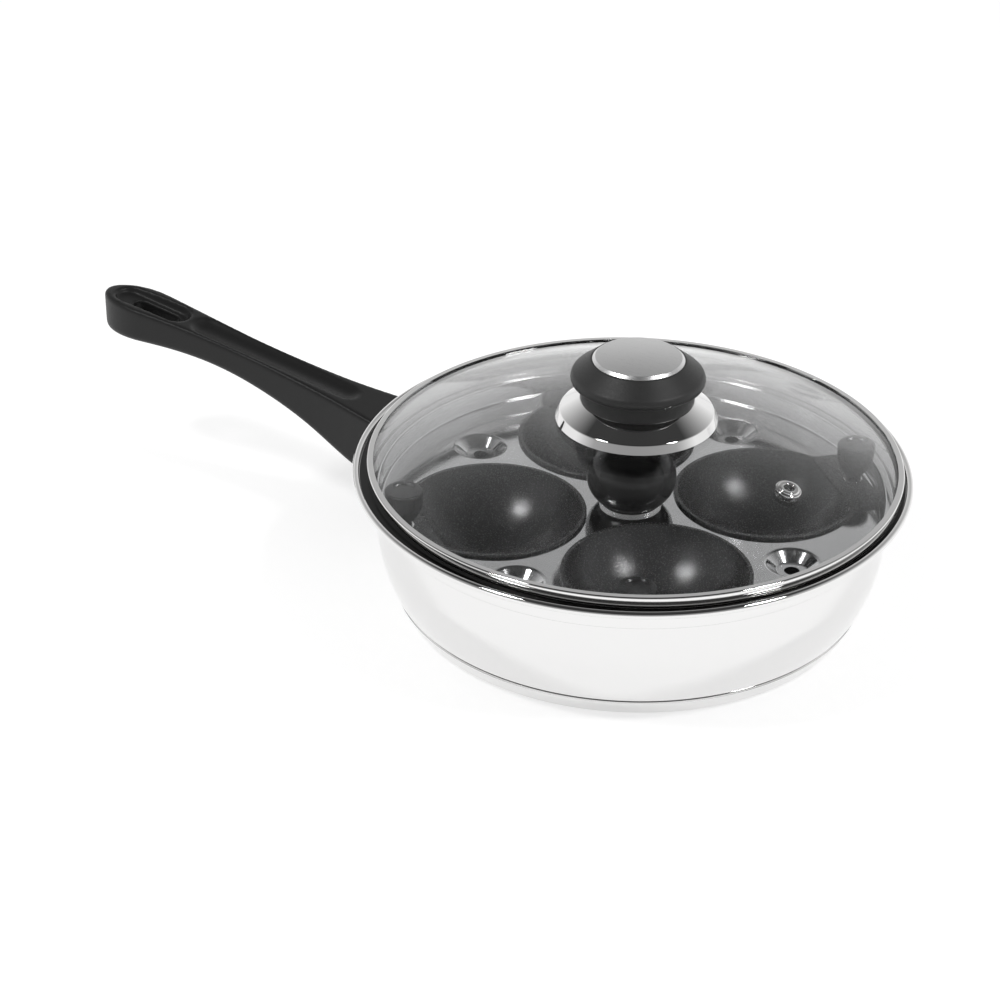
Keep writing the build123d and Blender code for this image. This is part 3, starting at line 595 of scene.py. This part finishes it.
def moulded_material(name, colour, low, high, depth, scale=2500.0, specular=0.5):
    """Black moulding with a fine grain."""
    material, tree, shader, place = start_material(name, colour, 0.0, low)
    shader.inputs["Specular IOR Level"].default_value = specular
    height = rough_effect(tree, shader, "Moulded grain", place, scale=scale, low=low, high=high)
    vary_colour(tree, shader, height, colour, 0.8, 1.25)
    add_bump(tree, shader, height, depth)
    return material


def coating_material(name, colour):
    """Black non-stick coating with a fine sparkle."""
    material, tree, shader, place = start_material(name, colour, 0.0, 0.34)
    height = rough_effect(tree, shader, "Moulded grain", place, scale=1800.0, low=0.2, high=0.3)
    flakes = place_group(tree, "Fine sparkle", place, scale=3200.0, share=0.08)
    vary_colour(tree, shader, flakes.outputs["Mask"], colour, 1.0, 2.4)
    add_bump(tree, shader, height, 0.03 * MM)
    return material


def glass_material(name, colour):
    """Clear glass that lets the lamps through."""
    material, tree, shader, place = start_material(name, colour, 0.0, 0.0)
    shader.inputs["Transmission Weight"].default_value = 1.0
    shader.inputs["IOR"].default_value = 1.5
    clear = tree.nodes.new("ShaderNodeBsdfTransparent")
    path = tree.nodes.new("ShaderNodeLightPath")
    mix = tree.nodes.new("ShaderNodeMixShader")
    tree.links.new(path.outputs["Is Shadow Ray"], mix.inputs["Fac"])
    tree.links.new(shader.outputs["BSDF"], mix.inputs[1])
    tree.links.new(clear.outputs["BSDF"], mix.inputs[2])
    tree.links.new(mix.outputs["Shader"], tree.nodes["Material Output"].inputs["Surface"])
    smears = place_group(tree, "Handled polish", place, scale=25.0, low=0.0, high=0.02)
    vary_colour(tree, shader, smears.outputs["Height"], colour, 0.995, 1.0)
    return material


def rubber_material(name, colour):
    """Translucent sealing ring."""
    material, tree, shader, place = start_material(name, colour, 0.0, 0.5)
    height = rough_effect(tree, shader, "Moulded grain", place, scale=900.0, low=0.45, high=0.6)
    vary_colour(tree, shader, height, colour, 0.94, 1.0)
    return material


def finish_named(finish):
    """Material for a slot of the record, or for one piece's own finish, made on first use."""
    name = finish + "_finish"
    made = bpy.data.materials.get(name)
    if made:
        return made
    colours = bpy.context.scene.poacher_finishes
    makers = {
        "pan_polish_painted_shade": lambda: pan_material(name, colours.polished),
        "polished_steel": lambda: steel_material(name, colours.polished, 0.02, 0.06),
        "tray_steel": lambda: steel_material(name, colours.rolled, 0.07, 0.13, 90.0),
        "plain_steel": lambda: steel_material(name, colours.plain, 0.22, 0.36, 300.0),
        "brushed_disc": lambda: brushed_material(name, colours.brushed, math.radians(-25)),
        "aluminium_core": lambda: steel_material(name, colours.aluminium, 0.3, 0.45, 300.0),
        "handle_black": lambda: moulded_material(name, colours.handle, 0.36, 0.48, 0.02 * MM, specular=0.26),
        "knob_black": lambda: moulded_material(name, colours.knob, 0.13, 0.2, 0.01 * MM, specular=0.4),
        "grained_black": lambda: moulded_material(name, colours.knob, 0.42, 0.56, 0.05 * MM, 1600.0),
        "cup_coating": lambda: coating_material(name, colours.coating),
        "clear_glass": lambda: glass_material(name, colours.glass),
        "gasket_rubber": lambda: rubber_material(name, colours.rubber),
    }
    return makers[finish]()


class POACHER_OT_pan(bpy.types.Operator):
    """Makes the pressed pan with its step, ledge and rolled rim"""
    bl_idname = "poacher.pan"
    bl_label = "Pan"

    def execute(self, context):
        pan = context.scene.poacher_pan
        curl_centre = pan.rim_r - pan.curl_r, pan.ledge_z - pan.sheet + pan.curl_r
        flare_z = pan.floor_z + (pan.wall_r - pan.floor_r) * math.tan(pan.flare)
        under_step, under_ledge = pan.step_z - pan.sheet, pan.ledge_z - pan.sheet
        bm = bmesh.new()
        draw_bent(bm, (
            (0, pan.floor_z, 0), (pan.floor_r, pan.floor_z, pan.knuckle_r),
            (pan.wall_r, flare_z, pan.wall_bend_r),
            (pan.wall_r, under_step, pan.fold_r), (pan.upper_r, under_step, pan.step_bend_r),
            (pan.upper_r, under_ledge, pan.fold_r), (curl_centre[0], under_ledge, 0)), bend_steps=10)
        draw_arc(bm, (curl_centre[0], under_ledge), curl_centre, pan.curl_turn, 28)
        turn_round(bm, RIM_STEPS)
        thicken(bm, pan.sheet, (0, 0, -1))
        add_piece(bm, "pan_body", "pan", "polished_steel", "pan_polish_painted_shade")
        return {"FINISHED"}


class POACHER_OT_base(bpy.types.Operator):
    """Makes the steel cap of the sandwich base"""
    bl_idname = "poacher.base"
    bl_label = "Base cap"

    def execute(self, context):
        pan = context.scene.poacher_pan
        bm = bmesh.new()
        draw_bent(bm, ((0, 0, 0), (pan.cap_corner_r, 0, pan.cap_bend_r), (pan.cap_top_r, pan.cap_height, 0)))
        turn_round(bm, RIM_STEPS)
        thicken(bm, pan.cap_sheet, (0, 0, -1))
        add_piece(bm, "base_cap", "pan", "polished_steel")
        return {"FINISHED"}


class POACHER_OT_handle(bpy.types.Operator):
    """Makes the moulded stick handle with softened edges"""
    bl_idname = "poacher.handle"
    bl_label = "Handle"

    def execute(self, context):
        settings = context.scene.poacher_handle
        draft = add_object("handle_draft", frame["nodes"]["handle_grip"].data.copy())
        bm = bmesh.new()
        bm.from_mesh(draft.data)
        bmesh.ops.remove_doubles(bm, verts=bm.verts, dist=MERGE_DISTANCE)
        bm.to_mesh(draft.data)
        bm.free()
        cells = draft.modifiers.new("Cells", "REMESH")
        cells.mode = "VOXEL"
        cells.voxel_size = settings.grain
        soften = draft.modifiers.new("Soften", "SMOOTH")
        soften.factor = 0.5
        soften.iterations = settings.softness
        seen = draft.evaluated_get(context.evaluated_depsgraph_get())
        bm = bmesh.new()
        bm.from_mesh(seen.to_mesh())
        bpy.data.objects.remove(draft)
        add_piece(bm, "handle_grip", "pan", "handle_black", sharp=math.pi)
        return {"FINISHED"}


class POACHER_OT_tray(bpy.types.Operator):
    """Makes the drop-in tray with its cup holes and steam dimples"""
    bl_idname = "poacher.tray"
    bl_label = "Tray"

    def execute(self, context):
        tray = context.scene.poacher_tray
        bm = bmesh.new()
        inner_r = tray.wall_r - 3 * tray.corner_r
        draw_bent(bm, (
            (inner_r, tray.low_z, 0), (tray.wall_r, tray.low_z, tray.corner_r),
            (tray.wall_r, tray.flange_z, tray.fold_r), (tray.flange_r, tray.flange_z, 0)))
        turn_round(bm, RIM_STEPS)
        dimple = bmesh.new()
        low_z = tray.low_z - tray.dimple_depth
        draw_bent(dimple, (
            (tray.vent_r, low_z, 0), (tray.dimple_flat_r, low_z, tray.dimple_bend_r),
            (tray.dimple_r, tray.low_z, tray.dimple_bend_r), (tray.dimple_rim_r, tray.low_z, 0)))
        turn_round(dimple, TINY_STEPS)
        dimple_mesh = finish_mesh(dimple, "dimple_draft")
        for index in range(CUP_COUNT):
            place = tray_place(index + 0.5, tray.dimple_pitch_r)
            before = set(bm.verts)
            bm.from_mesh(dimple_mesh)
            bmesh.ops.transform(bm, matrix=place, verts=[v for v in bm.verts if v not in before])
            hole = tray_place(index, tray.cup_pitch_r) @ Matrix.Translation((0, 0, tray.low_z))
            bmesh.ops.create_circle(bm, segments=PIECE_STEPS, radius=tray.hole_r, cap_ends=False, matrix=hole)
        bpy.data.meshes.remove(dimple_mesh)
        edges = [e for e in bm.edges if len(e.link_faces) < 2
                 and all(abs(v.co.z - tray.low_z) < MERGE_DISTANCE for v in e.verts)]
        bmesh.ops.triangle_fill(bm, use_beauty=True, edges=edges)
        bmesh.ops.recalc_face_normals(bm, faces=bm.faces)
        thicken(bm, tray.sheet, (0, 0, -1))
        add_piece(bm, "tray_plate", "tray", "tray_steel")
        return {"FINISHED"}


class POACHER_OT_tray_knob(bpy.types.Operator):
    """Makes the rounded knob on the tray and its bright collar"""
    bl_idname = "poacher.tray_knob"
    bl_label = "Tray knob"

    def execute(self, context):
        tray, knob = context.scene.poacher_tray, context.scene.poacher_tray_knob
        low_z = tray.low_z + tray.sheet
        base_z = low_z + knob.collar_height
        turned_piece("tray_knob_collar", "tray", "polished_steel", (
            (0, low_z, 0), (knob.collar_r, low_z, 0), (knob.collar_r, base_z, SOFT_EDGE), (0, base_z, 0)))
        side_x = knob.wide_r - knob.side_r
        base_turn = math.acos((knob.base_r - side_x) / knob.side_r)
        lean = math.acos(side_x / (knob.crown_r - knob.side_r))
        side_z = base_z + knob.side_r * math.sin(base_turn)
        crown_z = side_z - math.sqrt((knob.crown_r - knob.side_r) ** 2 - side_x ** 2)
        bm = bmesh.new()
        draw_bent(bm, ((0, base_z, 0), (knob.base_r, base_z, 0)))
        top = draw_arc(bm, (knob.base_r, base_z), (side_x, side_z), base_turn + lean, 24)
        draw_arc(bm, top, (0, crown_z), math.pi / 2 - lean, 16)
        turn_round(bm, PIECE_STEPS)
        add_piece(bm, "tray_knob", "tray", "knob_black")
        return {"FINISHED"}


class POACHER_OT_cups(bpy.types.Operator):
    """Makes the four non-stick cups with their beaded rims and ears"""
    bl_idname = "poacher.cups"
    bl_label = "Cups"

    def execute(self, context):
        for index in range(CUP_COUNT):
            make_cup(index)
        return {"FINISHED"}


def cup_turn(index):
    """Matrix of a cup's own frame: its axis on the tray, turned so that +X points at its knob."""
    tray, cups = context_tray_and_cups()
    axis = tray_place(index, tray.cup_pitch_r)
    low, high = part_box(f"cup_{index + 1}_knob")
    to_knob = axis.inverted() @ ((low + high) / 2)
    return axis @ Matrix.Rotation(math.atan2(to_knob.y, to_knob.x), 4, "Z")


def context_tray_and_cups():
    """Sizes of the tray and of the cups."""
    return bpy.context.scene.poacher_tray, bpy.context.scene.poacher_cups


def make_cup(index):
    """Bowl with a beaded rim, and the ear that carries its knob."""
    tray, cups = context_tray_and_cups()
    seat_z = tray.low_z + tray.sheet
    top_z = seat_z + cups.rim_height
    bowl_r = (cups.opening_r ** 2 + cups.depth ** 2) / (2 * cups.depth)
    centre_z = top_z - cups.depth + bowl_r
    turn = math.asin(cups.opening_r / bowl_r)
    outer_turn = math.acos((centre_z - seat_z) / (bowl_r + cups.wall))
    outer_r = (bowl_r + cups.wall) * math.sin(outer_turn)
    bm = bmesh.new()
    draw_arc(bm, (0, top_z - cups.depth), (0, centre_z), turn, 36)
    draw_bent(bm, (
        (cups.opening_r, top_z, 0), (cups.rim_r, top_z, cups.rim_edge_r),
        (cups.rim_r, seat_z, cups.rim_edge_r / 2), (outer_r, seat_z, 0)))
    draw_arc(bm, (0, centre_z - bowl_r - cups.wall), (0, centre_z), outer_turn, 36)
    turn_round(bm, PIECE_STEPS)
    ear = bmesh.new()
    bmesh.ops.create_grid(ear, x_segments=1, y_segments=1, size=1)
    near_x = (cups.opening_r + cups.rim_r) / 2
    corner_y = cups.ear_half
    root_x = math.sqrt(near_x ** 2 - corner_y ** 2)
    for vert, (x, y) in zip(ear.verts, ((root_x, -corner_y), (cups.ear_reach, -corner_y),
                                       (root_x, corner_y), (cups.ear_reach, corner_y))):
        vert.co = (x, y, seat_z + cups.ear_lift)
    ears = [v for v in ear.verts if v.co.x > near_x]
    bmesh.ops.bevel(ear, geom=ears, offset=cups.ear_corner_r, offset_type="OFFSET", segments=10, profile=0.5,
                    affect="VERTICES", material=-1)
    made = bmesh.ops.extrude_face_region(ear, geom=ear.faces[:])
    bmesh.ops.translate(ear, vec=(0, 0, cups.rim_height - FIT_GAP),
                        verts=[v for v in made["geom"] if isinstance(v, bmesh.types.BMVert)])
    bmesh.ops.recalc_face_normals(ear, faces=ear.faces)
    ear_mesh = finish_mesh(ear, "ear_draft")
    bm.from_mesh(ear_mesh)
    bpy.data.meshes.remove(ear_mesh)
    bmesh.ops.transform(bm, matrix=cup_turn(index), verts=bm.verts)
    name = f"cup_{index + 1}"
    add_piece(bm, f"{name}_shell", name, "cup_coating")


class POACHER_OT_cup_knobs(bpy.types.Operator):
    """Makes the bud-shaped knob and the bright ring of each cup"""
    bl_idname = "poacher.cup_knobs"
    bl_label = "Cup knobs"

    def execute(self, context):
        tray, cups = context_tray_and_cups()
        ring_z = tray.low_z + tray.sheet + cups.rim_height
        low_z = ring_z + cups.ring_height
        top_z = low_z + cups.knob_height
        for index in range(CUP_COUNT):
            name = f"cup_{index + 1}"
            place = cup_turn(index) @ Matrix.Translation((cups.knob_from_cup, 0, 0))
            turned_piece(f"{name}_knob_ring", name, "polished_steel", (
                (0, ring_z, 0), (cups.ring_r, ring_z, FINE_EDGE), (cups.ring_r, low_z, FINE_EDGE),
                (0, low_z, 0)), steps=TINY_STEPS, place=place)
            turned_piece(f"{name}_knob", name, "knob_black", (
                (0, low_z, 0), (cups.foot_r, low_z, 0),
                (cups.foot_r, low_z + cups.neck_height, cups.neck_bend_r),
                (cups.belly_r, low_z + cups.belly_height, cups.belly_bend_r),
                (cups.head_r, top_z, cups.head_edge_r), (cups.dish_r, top_z, cups.head_edge_r / 2),
                (cups.dish_r - cups.dish_depth, top_z - cups.dish_depth, 0),
                (0, top_z - cups.dish_depth, 0)), steps=SMALL_STEPS, place=place)
        return {"FINISHED"}


class POACHER_OT_lid(bpy.types.Operator):
    """Makes the steel band and the domed glass"""
    bl_idname = "poacher.lid"
    bl_label = "Lid"

    def execute(self, context):
        lid, pan = context.scene.poacher_lid, context.scene.poacher_pan
        top_z = pan.ledge_z + lid.band_height
        bm = bmesh.new()
        draw_bent(bm, (
            (lid.foot_r, pan.ledge_z, 0), (lid.band_r, pan.ledge_z, lid.band_bend_r),
            (lid.band_r, top_z, lid.band_bend_r), (lid.lip_r, top_z, 0)))
        turn_round(bm, RIM_STEPS, lid_place())
        thicken(bm, lid.band_sheet, (0, 0, 1))
        add_piece(bm, "lid_band", "lid", "polished_steel")
        radius = glass_radius()
        centre_z = lid.apex_z - radius
        edge_r = lid.band_r - lid.band_sheet - lid.glass_gap
        bm = bmesh.new()
        ends = []
        for face_r in (radius, radius - lid.glass):
            first, last = math.asin(lid.bore_r / face_r), math.asin(edge_r / face_r)
            start = (edge_r, centre_z + face_r * math.cos(last))
            ends.append((start, draw_arc(bm, start, (0, centre_z), last - first, 48)))
        for top, low in zip(*ends):
            draw_bent(bm, ((*top, 0), (*low, 0)))
        turn_round(bm, RIM_STEPS, lid_place())
        add_piece(bm, "lid_glass", "lid", "clear_glass")
        return {"FINISHED"}


class POACHER_OT_vent(bpy.types.Operator):
    """Makes the steam vent's eyelet"""
    bl_idname = "poacher.vent"
    bl_label = "Steam vent"

    def execute(self, context):
        lid = context.scene.poacher_lid
        radius = glass_radius()
        lean = math.asin(lid.vent_from_axis / radius)
        place = (lid_place() @ Matrix.Rotation(lid.vent_turn, 4, "Z")
                 @ Matrix.Translation((0, 0, lid.apex_z - radius))
                 @ Matrix.Rotation(lean, 4, "Y") @ Matrix.Translation((0, 0, radius)))
        brim_z = FIT_GAP + lid.vent_brim_height
        foot_z = -lid.glass - FIT_GAP
        turned_piece("vent_eyelet", "lid", "polished_steel", (
            (lid.vent_hole_r, lid.vent_lip_height, SOFT_EDGE),
            (lid.vent_hole_r, foot_z - lid.vent_brim_height, 0),
            (lid.vent_foot_r, foot_z - lid.vent_brim_height, 0), (lid.vent_foot_r, foot_z, 0),
            (lid.vent_tube_r, foot_z, 0), (lid.vent_tube_r, FIT_GAP, 0), (lid.vent_brim_r, FIT_GAP, 0),
            (lid.vent_brim_r, brim_z, SOFT_EDGE), (lid.vent_lip_r, brim_z, SOFT_EDGE),
            (lid.vent_lip_r, lid.vent_lip_height, SOFT_EDGE)), steps=SMALL_STEPS, place=place)
        return {"FINISHED"}


class POACHER_OT_lid_knob(bpy.types.Operator):
    """Makes the lid's knob: skirt, black body and brushed disc"""
    bl_idname = "poacher.lid_knob"
    bl_label = "Lid knob"

    def execute(self, context):
        knob, lid = context.scene.poacher_lid_knob, context.scene.poacher_lid
        radius = glass_radius()
        seat_z = lid.apex_z + FIT_GAP
        rim_z = lid.apex_z - radius + math.sqrt(radius ** 2 - knob.skirt_r ** 2) + FIT_GAP
        under_z = knob.skirt_seat_z - knob.skirt_sheet
        bm = bmesh.new()
        draw_bent(bm, (
            (knob.skirt_bore_r, seat_z, 0), (knob.skirt_seat_r, seat_z, knob.skirt_seat_bend_r),
            (knob.skirt_rise_r, under_z, knob.skirt_seat_bend_r),
            (knob.skirt_neck_r, under_z, knob.skirt_bend_r),
            (knob.skirt_neck_r, knob.skirt_crown_z, knob.skirt_bend_r),
            (knob.skirt_crown_r, knob.skirt_crown_z, knob.skirt_bend_r),
            (knob.skirt_edge_r, knob.skirt_edge_z, knob.skirt_bend_r), (knob.skirt_r, rim_z, 0)))
        turn_round(bm, KNOB_STEPS, lid_place())
        thicken(bm, knob.skirt_sheet, (0, 0, -1))
        add_piece(bm, "lid_knob_skirt", "lid", "polished_steel")
        turned_piece("lid_knob_body", "lid", "knob_black", (
            (0, knob.skirt_seat_z, 0), (knob.neck_r, knob.skirt_seat_z, 0),
            (knob.neck_r, knob.ring_z, SOFT_EDGE),
            (knob.ring_r, knob.ring_z, knob.ring_bend_r), (knob.ring_r, knob.groove_z, knob.ring_bend_r / 2),
            (knob.ring_r - knob.groove, knob.groove_z, knob.groove / 5),
            (knob.ring_r - knob.groove, knob.brim_z, knob.groove / 5),
            (knob.brim_r, knob.brim_z, knob.brim_bend_r), (knob.wide_r, knob.wide_z, knob.wide_bend_r),
            (knob.shoulder_r, knob.shoulder_z, knob.shoulder_bend_r),
            (knob.top_r, knob.top_z, knob.top_bend_r), (0, knob.top_z, 0)),
            finish="grained_black", steps=KNOB_STEPS, place=lid_place(), bend_steps=12)
        disc_z = knob.top_z + knob.disc_height
        flat_r = knob.disc_r - knob.disc_edge
        dome = [(share * flat_r, disc_z - knob.disc_dome * share ** 2, 0)
                for share in (0.8, 0.6, 0.4, 0.2, 0)]
        turned_piece("lid_knob_disc", "lid", "brushed_disc", (
            (0, knob.top_z, 0), (knob.disc_r, knob.top_z, 0),
            (knob.disc_r, knob.top_z + 2 * knob.disc_bend_r, knob.disc_bend_r),
            (flat_r, disc_z - knob.disc_dome, knob.disc_bend_r), *dome), steps=KNOB_STEPS, place=lid_place())
        return {"FINISHED"}


class POACHER_OT_fixings(bpy.types.Operator):
    """Gives the fixings, the core and the bracket their finishes"""
    bl_idname = "poacher.fixings"
    bl_label = "Fixings"

    def execute(self, context):
        for part in frame["record"]["subparts"]:
            node = frame["nodes"][part["node"]]
            node.data.materials.clear()
            node.data.materials.append(finish_named(part["material_slot"]))
        return {"FINISHED"}


class POACHER_OT_stage(bpy.types.Operator):
    """Makes the floor, the surroundings, the lamps and the camera"""
    bl_idname = "poacher.stage"
    bl_label = "Stage"

    def execute(self, context):
        make_floor()
        make_surroundings()
        make_lamps()
        make_camera()
        context.scene.view_settings.view_transform = "Standard"
        return {"FINISHED"}


def make_floor():
    """Pale floor that fills the view and keeps the pan's shadow."""
    bm = bmesh.new()
    bmesh.ops.create_circle(bm, segments=TINY_STEPS, radius=FLOOR_RADIUS, cap_ends=True)
    floor = add_object("floor", finish_mesh(bm, "floor"))
    colour = tuple(bpy.context.scene.poacher_finishes.floor)
    material, tree, shader, place = start_material("pale_floor", colour, 0.0, 0.9)
    clouds = add_noise(tree, place, 3.0)
    vary_colour(tree, shader, clouds.outputs["Fac"], colour, 0.997, 1.0)
    path = tree.nodes.new("ShaderNodeLightPath")
    seen = path.outputs["Is Camera Ray"]
    for ray in ("Is Glossy Ray", "Is Transmission Ray"):
        seen = add_math(tree, "MAXIMUM", seen, path.outputs[ray])
    glow = tree.nodes.new("ShaderNodeEmission")
    strength = add_math(tree, "MULTIPLY", seen, bpy.context.scene.poacher_stage.floor_glow)
    tree.links.new(strength, glow.inputs["Strength"])
    add = tree.nodes.new("ShaderNodeAddShader")
    tree.links.new(shader.outputs["BSDF"], add.inputs[0])
    tree.links.new(glow.outputs["Emission"], add.inputs[1])
    tree.links.new(add.outputs["Shader"], tree.nodes["Material Output"].inputs["Surface"])
    floor.data.materials.append(material)


def make_surroundings():
    """Backdrop: bright low and dark overhead in reflections, even on matt surfaces, white to the camera."""
    settings = bpy.context.scene.poacher_stage
    world = bpy.data.worlds.new("soft_studio")
    bpy.context.scene.world = world
    world.use_nodes = True
    tree = world.node_tree
    back = tree.nodes["Background"]
    coordinates = tree.nodes.new("ShaderNodeTexCoord")
    split = tree.nodes.new("ShaderNodeSeparateXYZ")
    tree.links.new(coordinates.outputs["Generated"], split.inputs["Vector"])
    height = add_range(tree, split.outputs["Z"], math.sin(settings.backdrop_top),
                       math.sin(settings.ceiling_start), settings.backdrop, settings.ceiling)
    near = tree.nodes.new("ShaderNodeVectorMath")
    near.operation = "DOT_PRODUCT"
    near.inputs[1].default_value = (math.sin(settings.azimuth), -math.cos(settings.azimuth), 0)
    tree.links.new(coordinates.outputs["Generated"], near.inputs[0])
    share = add_range(tree, near.outputs["Value"], 0.0, 0.5, 1.0, settings.near_side)
    height = add_math(tree, "MULTIPLY", height, share)
    path = tree.nodes.new("ShaderNodeLightPath")
    brightness = add_range(tree, path.outputs["Is Diffuse Ray"], 0.0, 1.0, height, settings.room_light)
    strength = add_range(tree, path.outputs["Is Camera Ray"], 0.0, 1.0, brightness, 1.0)
    tree.links.new(strength, back.inputs["Strength"])
    back.inputs["Color"].default_value = (1, 1, 1, 1)


def make_lamps():
    """Two soft square lamps, left and right of the camera."""
    settings = bpy.context.scene.poacher_stage
    turn = Matrix.Rotation(settings.azimuth, 4, "Z")
    for name, direction in LAMPS.items():
        data = bpy.data.lights.new(name, "AREA")
        data.shape = "SQUARE"
        data.size = settings.lamp_size
        data.energy = settings.lamp_power
        lamp = add_object(name, data)
        away = (turn @ Vector(direction)).normalized()
        lamp.matrix_world = Matrix.Translation(away * settings.lamp_distance) @ away.to_track_quat(
            "Z", "Y").to_matrix().to_4x4()


def make_camera():
    """Camera at the photograph's place, aimed a little off the pan's middle."""
    settings = bpy.context.scene.poacher_stage
    turn = Matrix.Rotation(settings.azimuth, 3, "Z")
    right = turn @ Vector((1, 0, 0))
    away = turn @ Vector((0, -math.cos(settings.elevation), math.sin(settings.elevation)))
    up = right.cross(-away)
    aim = (-away * math.cos(settings.yaw) * math.cos(settings.pitch)
           + right * math.sin(settings.yaw) * math.cos(settings.pitch) + up * math.sin(settings.pitch))
    across = aim.cross(Vector((0, 0, 1))).normalized()
    over = across.cross(aim)
    side = across * math.cos(settings.roll) + over * math.sin(settings.roll)
    top = over * math.cos(settings.roll) - across * math.sin(settings.roll)
    data = bpy.data.cameras.new("camera")
    data.lens = settings.lens
    data.sensor_width = SENSOR_WIDTH
    data.clip_start, data.clip_end = 0.01, 100.0
    camera = add_object("camera", data)
    camera.matrix_world = Matrix.Translation(away * settings.distance) @ Matrix(
        (side, top, -aim)).transposed().to_4x4()
    bpy.context.scene.camera = camera


OPERATORS = (
    POACHER_OT_fixings, POACHER_OT_pan, POACHER_OT_base, POACHER_OT_handle, POACHER_OT_tray,
    POACHER_OT_tray_knob, POACHER_OT_cups, POACHER_OT_cup_knobs, POACHER_OT_lid, POACHER_OT_vent,
    POACHER_OT_lid_knob, POACHER_OT_stage,
)


class POACHER_PT_sidebar(bpy.types.Panel):
    """Lists the pieces, their sizes and the stage"""
    bl_idname = "POACHER_PT_sidebar"
    bl_label = "Poacher Pan"
    bl_space_type = "VIEW_3D"
    bl_region_type = "UI"
    bl_category = "Poacher Pan"

    def draw(self, context):
        for operator in OPERATORS:
            self.layout.operator(operator.bl_idname)
        for group_name in SETTINGS:
            box = self.layout.box()
            group = getattr(context.scene, group_name)
            for prop_name in group.__annotations__:
                box.prop(group, prop_name)


def register():
    for kind in (*SETTINGS.values(), *OPERATORS, POACHER_PT_sidebar):
        bpy.utils.register_class(kind)
    for name, kind in SETTINGS.items():
        setattr(bpy.types.Scene, name, PointerProperty(type=kind))


def unregister():
    for name in SETTINGS:
        delattr(bpy.types.Scene, name)
    for kind in reversed((*SETTINGS.values(), *OPERATORS, POACHER_PT_sidebar)):
        bpy.utils.unregister_class(kind)


def main():
    """Makes the whole pan and its stage."""
    register()
    for operator in OPERATORS:
        group, name = operator.bl_idname.split(".")
        getattr(getattr(bpy.ops, group), name)()


if __name__ == "__main__":
    main()
